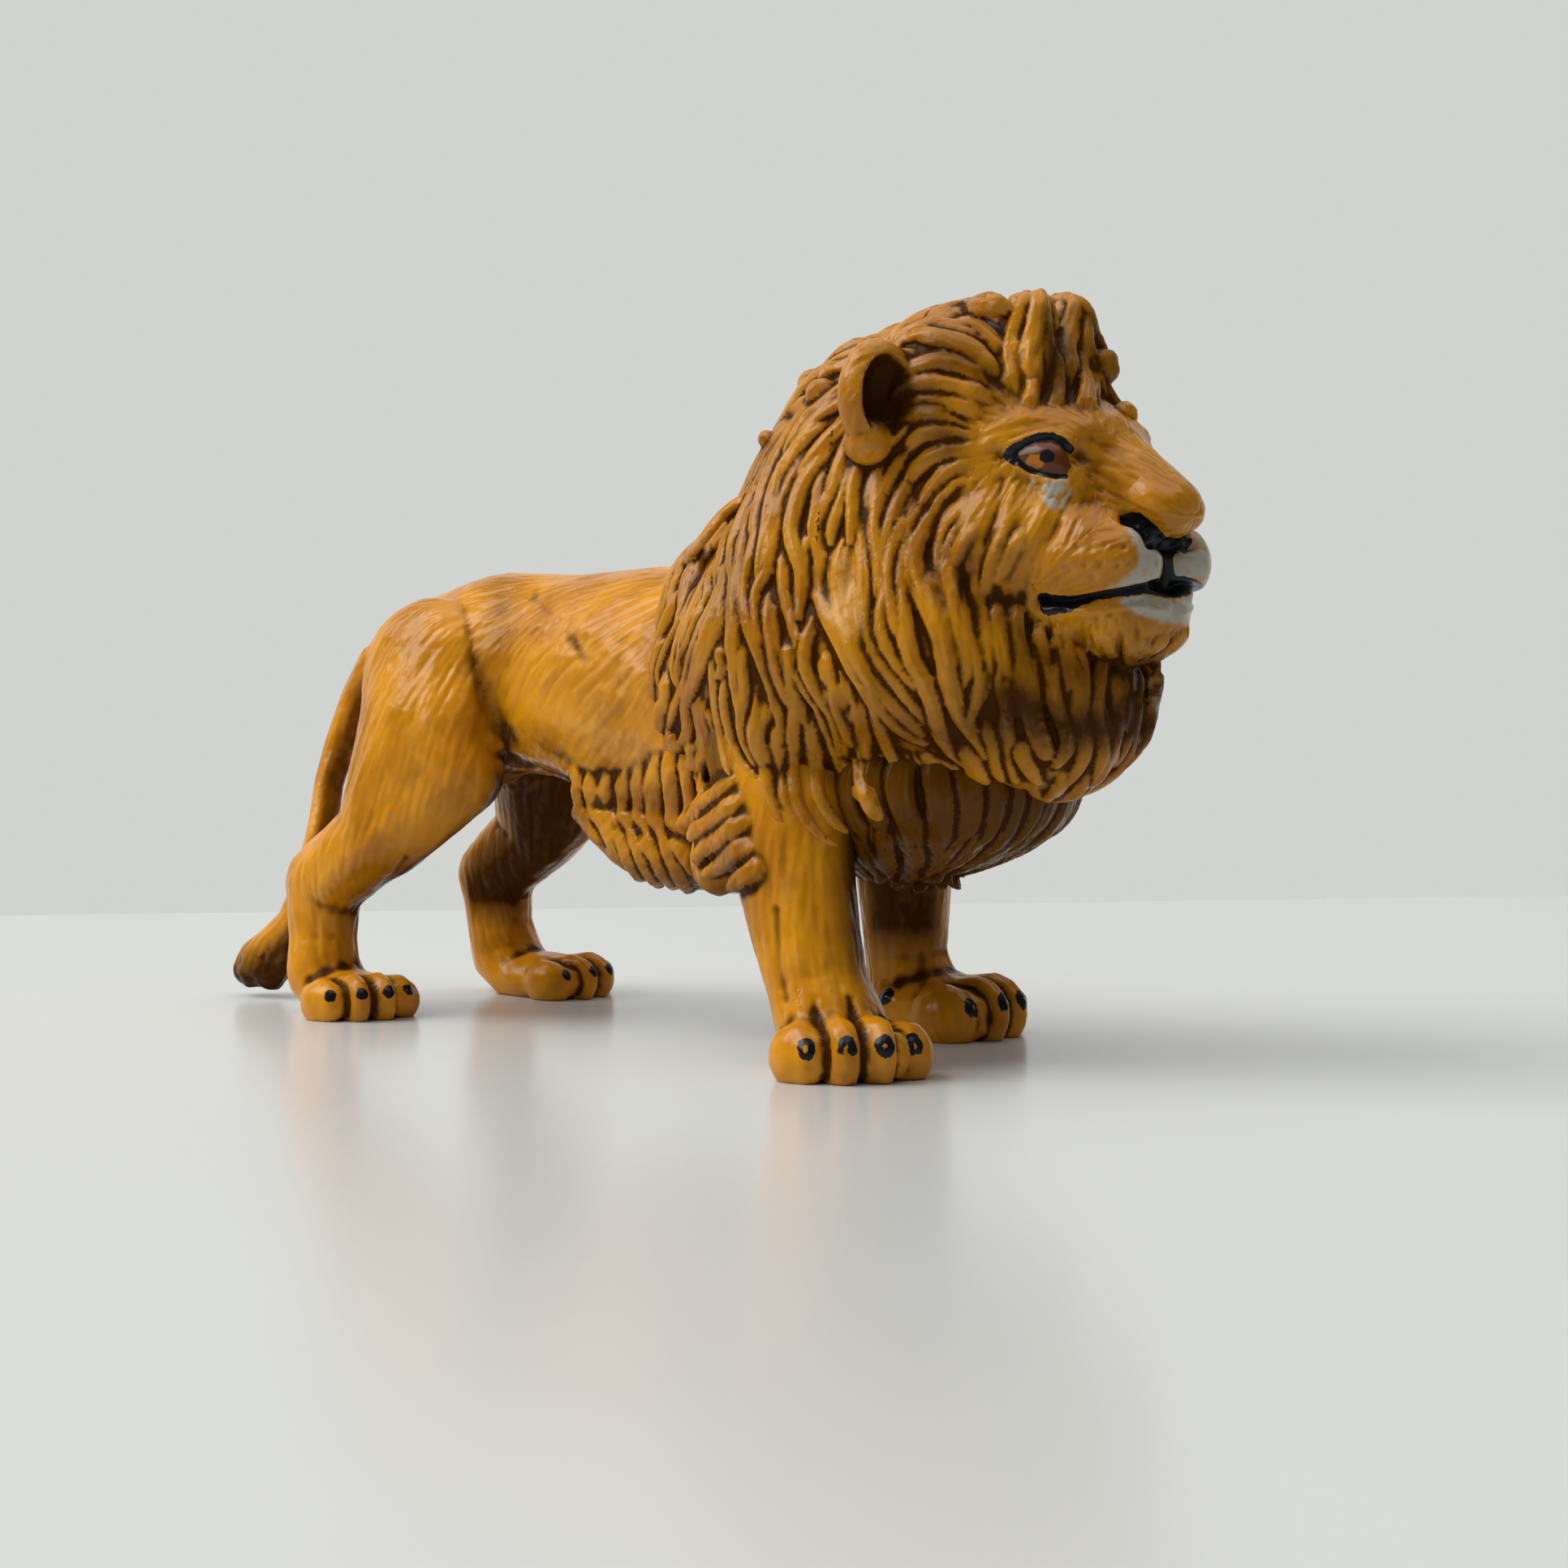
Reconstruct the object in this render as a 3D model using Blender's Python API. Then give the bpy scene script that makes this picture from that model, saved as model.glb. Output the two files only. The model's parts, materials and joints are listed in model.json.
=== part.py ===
"""A standing toy lion moulded in soft plastic, as nine castings that plug together and are glued.

The animal faces +X with its right side towards -Y, and stands on z = 0. Every form is a skin
stretched round balls: two balls make a link, links are fused and smoothed into one casting, and a
casting is cut back from the ones it meets so that a thin glue gap is left between them.
"""

from math import cos, pi, radians, sin

import bmesh
import bpy
from mathutils import Matrix, Vector
from mathutils.bvhtree import BVHTree

# Fits between castings
GLUE_GAP = 0.0003
PEG_CLEARANCE = 0.0003
OVERRUN_SHARE = 2.0

# Sculpting grain: the size of the steps a fused form is made of, and how round a ball is
BODY_GRAIN = 0.0009
LEG_GRAIN = 0.0006
MANE_GRAIN = 0.0006
BALL_ROUNDS = 3
SMOOTHING_SHARE = 0.5

# Stance, on the ground and between the feet
WHEELBASE = 0.0666
HIND_TRACK = 0.0288
FORE_TRACK = 0.0313
FORE_STRIDE = 0.0120
FORE_SETBACK = 0.0012
HIND_STRIDE = -0.0024

# Torso
BACK_HEIGHT = 0.0495
BODY_WIDTH = 0.0280
TORSO_FACES = 1300
TORSO_SMOOTHS = 5
# Along, across, up, then the three radii, as shares of wheelbase, body width and back height
SPINE_SHARES = (
    (0.045, 0.0, 0.727, 0.180, 0.320, 0.232),
    (0.160, 0.0, 0.775, 0.150, 0.370, 0.222),
    (0.300, 0.0, 0.765, 0.135, 0.355, 0.222),
    (0.510, 0.0, 0.733, 0.150, 0.440, 0.268),
    (0.720, 0.0, 0.705, 0.180, 0.490, 0.300),
    (0.885, 0.0, 0.707, 0.155, 0.455, 0.305),
)
BELLY_FRINGE_SHARES = (
    (0.405, 0.0, 0.475, 0.045, 0.214, 0.085),
    (0.510, 0.0, 0.420, 0.085, 0.290, 0.092),
    (0.630, 0.0, 0.405, 0.100, 0.330, 0.094),
    (0.760, 0.0, 0.405, 0.090, 0.330, 0.094),
)

# Neck plug, which runs from the shoulders through the mane collar into the head
NECK_ROOT_SHARES = (0.86, 0.0, 0.80)
NECK_PLUG_RADIUS = 0.0062
NECK_PLUG_LENGTH = 0.0290
NECK_RISE = radians(32)
ROUND_SIDES = 24

# Hind legs: hip to foot. Each row blends from hip (0) to foot (1), then bends forward
HIND_LEG_DEPTH = 0.0200
HIND_GIRTH = 0.0100
LEFT_HIND_SWAY = -0.0016
HIP_ALONG_SHARE = 0.0
HIP_ACROSS_SHARE = 0.268
HIND_FACES = 720
LEG_SMOOTHS = 4
# Blend, forward bend of leg depth, up of back height, radii of girth
HIND_LEG_SHARES = {
    "haunch": (0.00, 0.300, 0.755, 0.98, 0.62, 0.92),
    "thigh": (0.29, 0.390, 0.630, 0.98, 0.64, 0.90),
    "stifle": (0.43, 0.640, 0.555, 0.54, 0.44, 0.50),
    "shank": (0.72, 0.150, 0.405, 0.50, 0.46, 0.48),
    "hock": (0.83, -0.300, 0.293, 0.42, 0.39, 0.42),
    "cannon": (0.87, -0.285, 0.165, 0.36, 0.36, 0.36),
    "ankle": (0.94, -0.250, 0.090, 0.40, 0.40, 0.38),
}
HIND_LINKS = (
    ("haunch", "thigh"),
    ("thigh", "stifle"),
    ("thigh", "shank"),
    ("stifle", "shank"),
    ("shank", "hock"),
    ("hock", "cannon"),
    ("cannon", "ankle"),
)
HIND_PEG_SHARES = (0.06, 0.0, 0.74)

# Forelegs: shoulder to foot, in the same form as the hind legs
FORE_LEG_DEPTH = 0.0200
RIGHT_FORE_GIRTH = 0.0104
LEFT_FORE_GIRTH = 0.0083
RIGHT_FORE_SWAY = 0.0016
LEFT_FORE_SWAY = -0.0012
SHOULDER_ALONG_SHARE = 0.87
SHOULDER_ACROSS_SHARE = 0.420
FORE_FACES = 720
FORE_LEG_SHARES = {
    "shoulder": (0.00, 0.020, 0.680, 0.70, 0.50, 0.80),
    "elbow": (0.42, -0.080, 0.500, 0.64, 0.53, 0.60),
    "forearm": (0.55, -0.130, 0.420, 0.58, 0.54, 0.50),
    "shin": (0.70, -0.150, 0.300, 0.52, 0.50, 0.50),
    "wrist": (0.90, -0.170, 0.165, 0.45, 0.45, 0.40),
    "heel": (0.97, -0.130, 0.095, 0.50, 0.50, 0.44),
}
FORE_LINKS = (
    ("shoulder", "elbow"),
    ("elbow", "forearm"),
    ("forearm", "shin"),
    ("shin", "wrist"),
    ("wrist", "heel"),
)
ELBOW_TUFT_SHARES = (
    (0.30, -0.360, 0.480, 0.34, 0.30, 0.50),
    (0.36, -0.490, 0.398, 0.30, 0.26, 0.34),
)
FORE_PEG_SHARES = (0.87, 0.0, 0.68)

# Leg pegs
LEG_PEG_RADIUS = 0.0026
LEG_PEG_OUT = 0.0036
LEG_PEG_IN = 0.0040

# Paws: the pad and four toes, as shares of paw length, width and height
FORE_PAW = Vector((0.0148, 0.0142, 0.0072))
HIND_PAW = Vector((0.0140, 0.0120, 0.0058))
KNUCKLE_SHARE = 0.9
PAD_SHARES = (-0.02, 0.0, 0.40, 0.36, 0.42, 0.50)
HEEL_SHARES = (-0.28, 0.0, 0.40, 0.22, 0.34, 0.48)
TOE_SHARES = (
    (0.23, -0.37, 0.38, 0.21, 0.150, 0.44),
    (0.36, -0.13, 0.42, 0.21, 0.150, 0.50),
    (0.36, 0.13, 0.42, 0.21, 0.150, 0.50),
    (0.23, 0.37, 0.38, 0.21, 0.150, 0.44),
)
SOLE_SINK_SHARE = 0.07
RIGHT_FORE_TOE_OUT = radians(34)
LEFT_FORE_TOE_OUT = radians(6)
RIGHT_HIND_TOE_OUT = radians(20)
LEFT_HIND_TOE_OUT = radians(8)

# Tail: a cord-like casting from the rump to a tuft that touches the ground
TAIL_DROP = 0.0390
TAIL_SWING = 0.0090
TAIL_REACH = 0.0180
TAIL_GIRTH = 0.0038
TUFT_GIRTH = 0.0068
TAIL_FACES = 360
TAIL_SMOOTHS = 2
TAIL_ROOT_SHARES = (-0.105, 0.0, 0.838)
# Back of tail reach, sideways of tail swing, down of tail drop, radius of tail girth
TAIL_SHARES = (
    (0.00, 0.00, 0.00, 0.64),
    (0.25, 0.06, 0.05, 0.62),
    (0.385, 0.17, 0.155, 0.56),
    (0.475, 0.33, 0.295, 0.50),
    (0.500, 0.50, 0.423, 0.48),
    (0.450, 0.70, 0.550, 0.48),
    (0.460, 0.89, 0.700, 0.50),
    (0.560, 0.98, 0.838, 0.60),
)
TUFT_SHARES = (
    (0.70, 1.00, 0.905, 0.42),
    (0.83, 1.01, 0.955, 0.49),
    (0.93, 1.02, 0.985, 0.36),
)
TAIL_PEG_RADIUS = 0.0015
TAIL_PEG_OUT = 0.0021
TAIL_PEG_IN = 0.0040
TAIL_PEG_DIP = radians(24)

# Mane: a mass behind and round the face, as shares of mane length, width and height
MANE_JOINT_SHARE = 1.043
MANE_LENGTH = 0.0500
MANE_WIDTH = 0.0430
MANE_HEIGHT = 0.0760
MANE_SHARES = {
    "nape": (-0.280, 0.0, 0.572, 0.215, 0.275, 0.172),
    "crown": (-0.035, 0.0, 0.735, 0.242, 0.350, 0.208),
    "side": (-0.150, 0.0, 0.535, 0.345, 0.470, 0.180),
    "cheek": (0.130, 0.0, 0.525, 0.270, 0.420, 0.165),
    "beard": (0.310, 0.0, 0.480, 0.165, 0.255, 0.125),
    "cape": (-0.130, 0.0, 0.430, 0.220, 0.440, 0.090),
}
MANE_LINKS = (
    ("nape", "crown"),
    ("nape", "side"),
    ("crown", "side"),
    ("crown", "cheek"),
    ("side", "cheek"),
    ("cheek", "beard"),
    ("side", "cape"),
)
MANE_FACES = 8000
MANE_SMOOTHS = 2

# Head, forward of the mane joint and up from the chin, as shares of its length, width and height
HEAD_LENGTH = 0.0320
HEAD_WIDTH = 0.0250
HEAD_HEIGHT = 0.0360
CHIN_HEIGHT = 0.0400
HEAD_SHARES = {
    "skull": (0.300, 0.0, 0.500, 0.375, 0.490, 0.310),
    "top": (0.200, 0.0, 0.740, 0.281, 0.480, 0.210),
    "brow": (0.580, 0.0, 0.540, 0.190, 0.330, 0.140),
    "bridge": (0.690, 0.0, 0.510, 0.120, 0.190, 0.100),
    "nose": (0.885, 0.0, 0.395, 0.106, 0.150, 0.083),
    "muzzle": (0.700, 0.0, 0.290, 0.200, 0.300, 0.150),
    "jaw": (0.500, 0.0, 0.200, 0.219, 0.430, 0.180),
    "chin": (0.775, 0.0, 0.115, 0.150, 0.260, 0.108),
}
HEAD_LINKS = (
    ("skull", "top"),
    ("skull", "brow"),
    ("brow", "bridge"),
    ("bridge", "nose"),
    ("bridge", "muzzle"),
    ("skull", "jaw"),
    ("jaw", "muzzle"),
    ("jaw", "chin"),
)
# The same to each side: cheek, whisker pad and the lid of the eye
PAIRED_SHARES = (
    (0.440, 0.300, 0.300, 0.190, 0.210, 0.200),
    (0.790, 0.165, 0.250, 0.150, 0.175, 0.122),
    (0.610, 0.275, 0.520, 0.078, 0.085, 0.060),
)
# Forelock: three upright locks side by side, each from its foot to its tip
FORELOCK_SHARES = (
    (0.500, -0.125, 0.680, 0.105, 0.130, 0.100, 0.460, -0.115, 0.875, 0.090, 0.105, 0.085),
    (0.520, 0.0, 0.690, 0.105, 0.130, 0.100, 0.475, 0.0, 0.900, 0.090, 0.105, 0.085),
    (0.500, 0.125, 0.680, 0.105, 0.130, 0.100, 0.460, 0.115, 0.875, 0.090, 0.105, 0.085),
)
EAR_SHARES = (0.155, 0.568, 0.683)
EAR_SIZE = Vector((0.0046, 0.0080, 0.0112))
EAR_TURN = radians(30)
CUP_SIZE = Vector((0.0046, 0.0052, 0.0076))
CUP_FORWARD = 0.0026

# Locks of the mane, laid over the mass on both sides, from root to tip. Each row gives how thick a
# lock is, then four stations: forward of the mane joint, round from the crown, and off the mass, as
# shares of lock radius, mane length, half a turn and mane width.
LOCK_RADIUS = 0.0013
LOCK_STEPS = 3
LOCK_ROOT_SHARE = 0.70
LOCK_TIP_SHARE = 0.60
LOCK_SHARES = (
    (1.15, 0.04, 0.00, 0.00, -0.10, 0.01, 0.00, -0.24, 0.03, 0.00, -0.38, 0.04, 0.00),
    (1.15, 0.00, 0.06, 0.00, -0.12, 0.08, 0.00, -0.26, 0.11, 0.00, -0.40, 0.16, 0.00),
    (1.15, -0.02, 0.12, 0.00, -0.13, 0.15, 0.00, -0.25, 0.19, 0.00, -0.37, 0.26, 0.00),
    (1.15, -0.22, 0.00, 0.00, -0.30, 0.01, 0.00, -0.38, 0.02, 0.00, -0.46, 0.03, 0.00),
    (1.00, -0.28, 0.16, 0.00, -0.34, 0.21, 0.00, -0.40, 0.28, 0.00, -0.44, 0.38, 0.00),
    (1.00, -0.12, 0.20, 0.00, -0.22, 0.25, 0.00, -0.31, 0.33, 0.00, -0.38, 0.43, 0.00),
    (1.15, 0.29, 0.06, 0.00, 0.23, 0.07, 0.04, 0.16, 0.06, 0.00, 0.13, 0.11, 0.00),
    (0.97, 0.16, 0.01, 0.00, 0.14, 0.04, 0.01, 0.11, 0.08, 0.00, 0.06, 0.12, 0.00),
    (1.06, 0.30, 0.13, 0.00, 0.25, 0.13, 0.00, 0.19, 0.13, 0.00, 0.12, 0.14, 0.00),
    (0.89, 0.29, 0.15, 0.00, 0.23, 0.15, 0.00, 0.16, 0.17, 0.00, 0.10, 0.19, 0.00),
    (0.80, 0.29, 0.19, 0.00, 0.23, 0.20, 0.00, 0.17, 0.20, 0.00, 0.11, 0.21, 0.00),
    (0.89, 0.26, 0.22, 0.00, 0.15, 0.22, 0.00, 0.10, 0.28, 0.00, 0.10, 0.40, 0.00),
    (0.89, 0.28, 0.23, 0.00, 0.14, 0.25, 0.00, 0.12, 0.40, 0.00, 0.15, 0.55, 0.00),
    (0.89, 0.29, 0.24, 0.00, 0.14, 0.35, 0.00, 0.17, 0.55, 0.00, 0.23, 0.70, 0.00),
    (0.89, 0.30, 0.26, 0.00, 0.17, 0.44, 0.00, 0.23, 0.65, 0.00, 0.24, 0.84, 0.00),
    (1.06, 0.29, 0.29, 0.00, 0.19, 0.48, 0.00, 0.28, 0.66, 0.00, 0.30, 0.84, 0.00),
    (0.80, 0.31, 0.38, 0.00, 0.28, 0.43, 0.00, 0.26, 0.49, 0.00, 0.27, 0.54, 0.00),
    (0.80, 0.28, 0.55, 0.00, 0.31, 0.65, 0.00, 0.32, 0.73, 0.00, 0.30, 0.80, 0.00),
    (0.80, 0.34, 0.50, 0.00, 0.33, 0.63, -0.01, 0.36, 0.73, 0.00, 0.34, 0.81, 0.00),
    (0.80, 0.40, 0.39, 0.00, 0.38, 0.44, 0.00, 0.36, 0.49, 0.00, 0.34, 0.54, 0.00),
    (0.80, 0.07, 0.27, 0.00, 0.10, 0.46, 0.00, 0.15, 0.63, 0.00, 0.23, 0.77, 0.00),
    (0.80, 0.03, 0.27, 0.00, 0.00, 0.45, 0.00, 0.08, 0.60, 0.00, 0.16, 0.75, 0.00),
    (0.80, 0.00, 0.27, 0.00, -0.06, 0.37, 0.00, -0.03, 0.47, 0.00, -0.01, 0.58, 0.00),
    (1.06, -0.02, 0.22, 0.00, -0.10, 0.29, 0.00, -0.12, 0.41, 0.00, -0.12, 0.52, 0.00),
    (0.97, -0.05, 0.19, 0.00, -0.12, 0.25, 0.00, -0.17, 0.33, 0.00, -0.16, 0.44, 0.00),
    (0.97, -0.09, 0.20, 0.00, -0.16, 0.30, 0.03, -0.23, 0.42, 0.02, -0.24, 0.53, 0.00),
    (0.80, -0.20, 0.20, 0.00, -0.27, 0.32, 0.04, -0.33, 0.44, 0.08, -0.38, 0.56, 0.10),
    (0.80, -0.23, 0.35, 0.00, -0.19, 0.53, 0.00, -0.16, 0.66, 0.00, -0.12, 0.76, 0.09),
    (0.80, -0.15, 0.37, 0.00, -0.15, 0.53, 0.00, -0.08, 0.65, 0.00, -0.07, 0.77, 0.03),
    (0.80, -0.07, 0.41, 0.00, -0.03, 0.57, 0.00, 0.02, 0.71, 0.00, 0.03, 0.83, 0.08),
    (0.80, -0.30, 0.42, 0.00, -0.34, 0.54, 0.02, -0.37, 0.64, 0.03, -0.42, 0.73, 0.04),
    (0.80, -0.26, 0.47, 0.00, -0.25, 0.57, 0.00, -0.31, 0.66, 0.01, -0.34, 0.71, 0.13),
    (0.80, -0.20, 0.49, 0.00, -0.20, 0.59, 0.00, -0.26, 0.66, 0.04, -0.28, 0.72, 0.14),
    (0.80, -0.17, 0.63, 0.00, -0.21, 0.69, 0.00, -0.20, 0.74, 0.04, -0.12, 0.77, 0.11),
    (0.80, -0.13, 0.59, 0.00, -0.14, 0.66, 0.00, -0.18, 0.72, 0.01, -0.13, 0.76, 0.08),
    (0.80, -0.07, 0.55, 0.00, -0.04, 0.68, 0.00, -0.07, 0.78, 0.08, 0.00, 0.85, 0.19),
    (0.80, -0.08, 0.67, 0.00, -0.13, 0.73, 0.01, -0.11, 0.77, 0.10, -0.06, 0.80, 0.19),
    (0.80, 0.01, 0.70, 0.00, -0.04, 0.77, 0.01, -0.02, 0.81, 0.11, -0.01, 0.86, 0.15),
    (0.80, 0.01, 0.57, 0.00, 0.01, 0.62, 0.00, 0.03, 0.67, 0.00, 0.04, 0.72, 0.00),
    (1.15, 0.10, 0.67, 0.00, 0.11, 0.73, 0.01, 0.11, 0.77, 0.09, 0.14, 0.81, 0.16),
    (0.80, 0.15, 0.66, 0.00, 0.18, 0.69, 0.00, 0.20, 0.73, 0.00, 0.22, 0.77, 0.00),
    (0.80, 0.14, 0.80, 0.00, 0.15, 0.82, 0.05, 0.16, 0.84, 0.10, 0.17, 0.86, 0.15),
    (0.80, 0.19, 0.81, 0.00, 0.20, 0.83, 0.05, 0.21, 0.85, 0.10, 0.22, 0.87, 0.16),
    (1.15, 0.38, 0.70, 0.00, 0.39, 0.76, 0.00, 0.40, 0.82, 0.00, 0.39, 0.88, 0.00),
    (0.97, 0.42, 0.76, 0.00, 0.43, 0.81, 0.00, 0.43, 0.87, 0.00, 0.39, 0.91, 0.00),
    (0.89, 0.44, 0.81, -0.05, 0.45, 0.86, 0.00, 0.44, 0.92, 0.00, 0.38, 0.96, 0.00),
    (0.89, 0.46, 0.87, -0.11, 0.47, 0.91, 0.00, 0.45, 0.97, 0.00, 0.39, 0.99, 0.00),
    (0.80, 0.46, 0.90, -0.12, 0.48, 0.95, 0.09, 0.46, 0.95, -0.01, 0.42, 0.93, 0.00),
    (0.80, 0.36, 0.69, 0.00, 0.36, 0.76, 0.00, 0.35, 0.82, 0.01, 0.37, 0.85, 0.08),
    (0.80, 0.33, 0.77, 0.00, 0.32, 0.80, -0.01, 0.32, 0.83, 0.02, 0.34, 0.85, 0.06),
    (0.80, 0.38, 0.82, 0.00, 0.36, 0.85, 0.00, 0.36, 0.89, 0.00, 0.35, 0.93, 0.00),
    (0.97, 0.34, 0.11, 0.00, 0.32, 0.08, 0.00, 0.31, 0.06, -0.01, 0.33, 0.05, 0.04),
    (0.80, 0.37, 0.08, 0.00, 0.36, 0.06, 0.00, 0.34, 0.04, 0.00, 0.35, 0.04, 0.07),
    (1.06, 0.38, 0.03, 0.00, 0.37, 0.02, 0.00, 0.36, 0.00, 0.00, 0.35, 0.01, 0.03),
)

# Chest ruff: the hair that hangs between the forelegs under the beard
RUFF_LENGTH = 0.0240
RUFF_WIDTH = 0.0300
RUFF_DEPTH = 0.0160
RUFF_CENTRE_SHARES = (1.105, 0.0, 0.3621)
RUFF_FACES = 760
RUFF_SMOOTHS = 2
RUFF_SHARES = (
    (-0.02, 0.0, 0.0, 0.45, 0.47, 0.45),
    (-0.24, 0.0, -0.27, 0.36, 0.37, 0.32),
)
RUFF_LOCKS = 12
# A lock's top and tip: reach along and across, and height, as shares of the ruff's size
RUFF_LOCK_SHARES = (0.42, 0.44, -0.08, 0.31, 0.33, -0.50)
RUFF_LEAN_SHARE = -0.13
RUFF_LOCK_RADIUS = 0.0017
RUFF_TIP_SHARE = 0.75

# Finishes, as linear colours
PLASTIC = {
    "body": (0.46, 0.20, 0.018, 1.0),
    "mane": (0.40, 0.155, 0.014, 1.0),
    "ruff": (0.32, 0.120, 0.012, 1.0),
}
ROUGHNESS_SHARE = 0.42
SHARP_ANGLE = radians(50)


def clear_scene():
    for item in list(bpy.data.objects):
        bpy.data.objects.remove(item)


def plastic(kind):
    """The material of one run of castings: solid coloured soft plastic."""
    made = bpy.data.materials.get(kind)
    if made is None:
        made = bpy.data.materials.new(kind)
        made.use_nodes = True
        shader = made.node_tree.nodes["Principled BSDF"]
        shader.inputs["Base Color"].default_value = PLASTIC[kind]
        shader.inputs["Roughness"].default_value = ROUGHNESS_SHARE
        shader.inputs["Metallic"].default_value = 0.0
    return made


def new_object(name, mesh):
    made = bpy.data.objects.new(name, mesh)
    bpy.context.scene.collection.objects.link(made)
    return made


def ball(shares, size, origin=Vector()):
    """(centre, radii) of a ball whose row gives its place and its radii as shares of a size."""
    centre = origin + Vector(share * whole for share, whole in zip(shares[:3], size))
    radii = Vector(share * whole for share, whole in zip(shares[3:], size))
    return centre, radii


def add_ball(target, centre, radii, turn=Matrix.Identity(4)):
    """Adds one ball to a bmesh, squashed to its radii and then turned."""
    squash = Matrix.Diagonal((1.0, radii.y / radii.x, radii.z / radii.x, 1.0))
    placed = Matrix.Translation(centre) @ turn @ squash
    bmesh.ops.create_icosphere(target, subdivisions=BALL_ROUNDS, radius=radii.x, matrix=placed)


def add_link(target, *balls):
    """Adds the skin stretched round the balls to a bmesh."""
    hull = bmesh.new()
    for centre, radii in balls:
        add_ball(hull, centre, radii)
    bmesh.ops.delete(hull, geom=list(hull.edges), context="EDGES_FACES")
    made = bmesh.ops.convex_hull(hull, input=list(hull.verts))
    inner = [item for item in made["geom_interior"] if isinstance(item, bmesh.types.BMVert)]
    bmesh.ops.delete(hull, geom=inner, context="VERTS")
    bmesh.ops.recalc_face_normals(hull, faces=list(hull.faces))
    copies = {vertex: target.verts.new(vertex.co) for vertex in hull.verts}
    for face in hull.faces:
        target.faces.new([copies[vertex] for vertex in face.verts])
    hull.free()


def add_chain(target, balls):
    for first, second in zip(balls, balls[1:]):
        add_link(target, first, second)


def settle(item):
    """Replaces the object's mesh with what its modifiers make of it."""
    graph = bpy.context.evaluated_depsgraph_get()
    made = bpy.data.meshes.new_from_object(item.evaluated_get(graph))
    item.modifiers.clear()
    item.data = made


def keep_largest(item):
    """Removes the crumbs that a cut leaves beside a casting."""
    shape = bmesh.new()
    shape.from_mesh(item.data)
    shape.verts.ensure_lookup_table()
    left, islands = set(shape.verts), []
    while left:
        queue, island = [left.pop()], []
        while queue:
            vertex = queue.pop()
            island.append(vertex)
            for edge in vertex.link_edges:
                other = edge.other_vert(vertex)
                if other in left:
                    left.remove(other)
                    queue.append(other)
        islands.append(island)
    islands.sort(key=len)
    crumbs = [vertex for island in islands[:-1] for vertex in island]
    bmesh.ops.delete(shape, geom=crumbs, context="VERTS")
    shape.to_mesh(item.data)
    shape.free()


def fuse(name, links, grain, smooths, faces):
    """One casting from overlapping links: fused, smoothed, then thinned to a number of faces."""
    mesh = bpy.data.meshes.new(name)
    links.to_mesh(mesh)
    links.free()
    item = new_object(name, mesh)
    melt = item.modifiers.new("melt", "REMESH")
    melt.mode = "VOXEL"
    melt.voxel_size = grain
    soften = item.modifiers.new("soften", "SMOOTH")
    soften.factor = SMOOTHING_SHARE
    soften.iterations = smooths
    settle(item)
    keep_largest(item)
    triangles = sum(len(face.vertices) - 2 for face in item.data.polygons)
    thin = item.modifiers.new("thin", "DECIMATE")
    thin.ratio = min(1.0, faces / triangles)
    thin.use_collapse_triangulate = True
    settle(item)
    return item


def combine(item, tool, operation):
    """Joins or cuts with another shape, which is then removed."""
    step = item.modifiers.new(operation.lower(), "BOOLEAN")
    step.operation = operation
    step.solver = "EXACT"
    step.use_self = True
    step.object = tool
    settle(item)
    bpy.data.objects.remove(tool)


def cut_clear_of(item, *neighbours):
    """Cuts the casting back from its neighbours, and leaves the glue gap."""
    for neighbour in neighbours:
        tool = new_object("clearance", neighbour.data.copy())
        swell = tool.modifiers.new("swell", "DISPLACE")
        swell.strength = GLUE_GAP
        swell.mid_level = 0.0
        settle(tool)
        combine(item, tool, "DIFFERENCE")
    keep_largest(item)


def far_corner():
    """A point beyond every casting, for the cutters that part them."""
    return Vector((1.0, 1.0, 1.0)) * WHEELBASE * OVERRUN_SHARE


def block(low, high):
    """A box between two corners."""
    shape = bmesh.new()
    middle, extent = (low + high) / 2, high - low
    stretch = Matrix.Diagonal((1.0, extent.y / extent.x, extent.z / extent.x, 1.0))
    bmesh.ops.create_cube(shape, size=extent.x, matrix=Matrix.Translation(middle) @ stretch)
    mesh = bpy.data.meshes.new("block")
    shape.to_mesh(mesh)
    shape.free()
    return new_object("block", mesh)


def rod(start, end, radius):
    """A round bar between two points."""
    shape = bmesh.new()
    along = end - start
    turn = along.to_track_quat("Z", "Y").to_matrix().to_4x4()
    placed = Matrix.Translation((start + end) / 2) @ turn
    bmesh.ops.create_cone(
        shape,
        cap_ends=True,
        segments=ROUND_SIDES,
        radius1=radius,
        radius2=radius,
        depth=along.length,
        matrix=placed,
    )
    mesh = bpy.data.meshes.new("rod")
    shape.to_mesh(mesh)
    shape.free()
    return new_object("rod", mesh)


def on_body(shares):
    """A point of the torso's own frame, in shares of wheelbase, body width and back height."""
    return ball((*shares, 0.0, 0.0, 0.0), (WHEELBASE, BODY_WIDTH, BACK_HEIGHT))[0]


def cut_flat_soles(item):
    high = far_corner()
    high.z = 0.0
    combine(item, block(-far_corner(), high), "DIFFERENCE")


def torso():
    """Rump, back, ribs, shoulders and belly fringe."""
    size = (WHEELBASE, BODY_WIDTH, BACK_HEIGHT)
    links = bmesh.new()
    spine = [ball(row, size) for row in SPINE_SHARES]
    fringe = [ball(row, size) for row in BELLY_FRINGE_SHARES]
    add_chain(links, spine)
    add_chain(links, fringe)
    add_link(links, fringe[0], spine[3])
    add_link(links, fringe[-1], spine[4])
    return fuse("torso", links, BODY_GRAIN, TORSO_SMOOTHS, TORSO_FACES)


def neck_line():
    """Start and direction of the neck plug."""
    return on_body(NECK_ROOT_SHARES), Vector((cos(NECK_RISE), 0.0, sin(NECK_RISE)))


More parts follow.
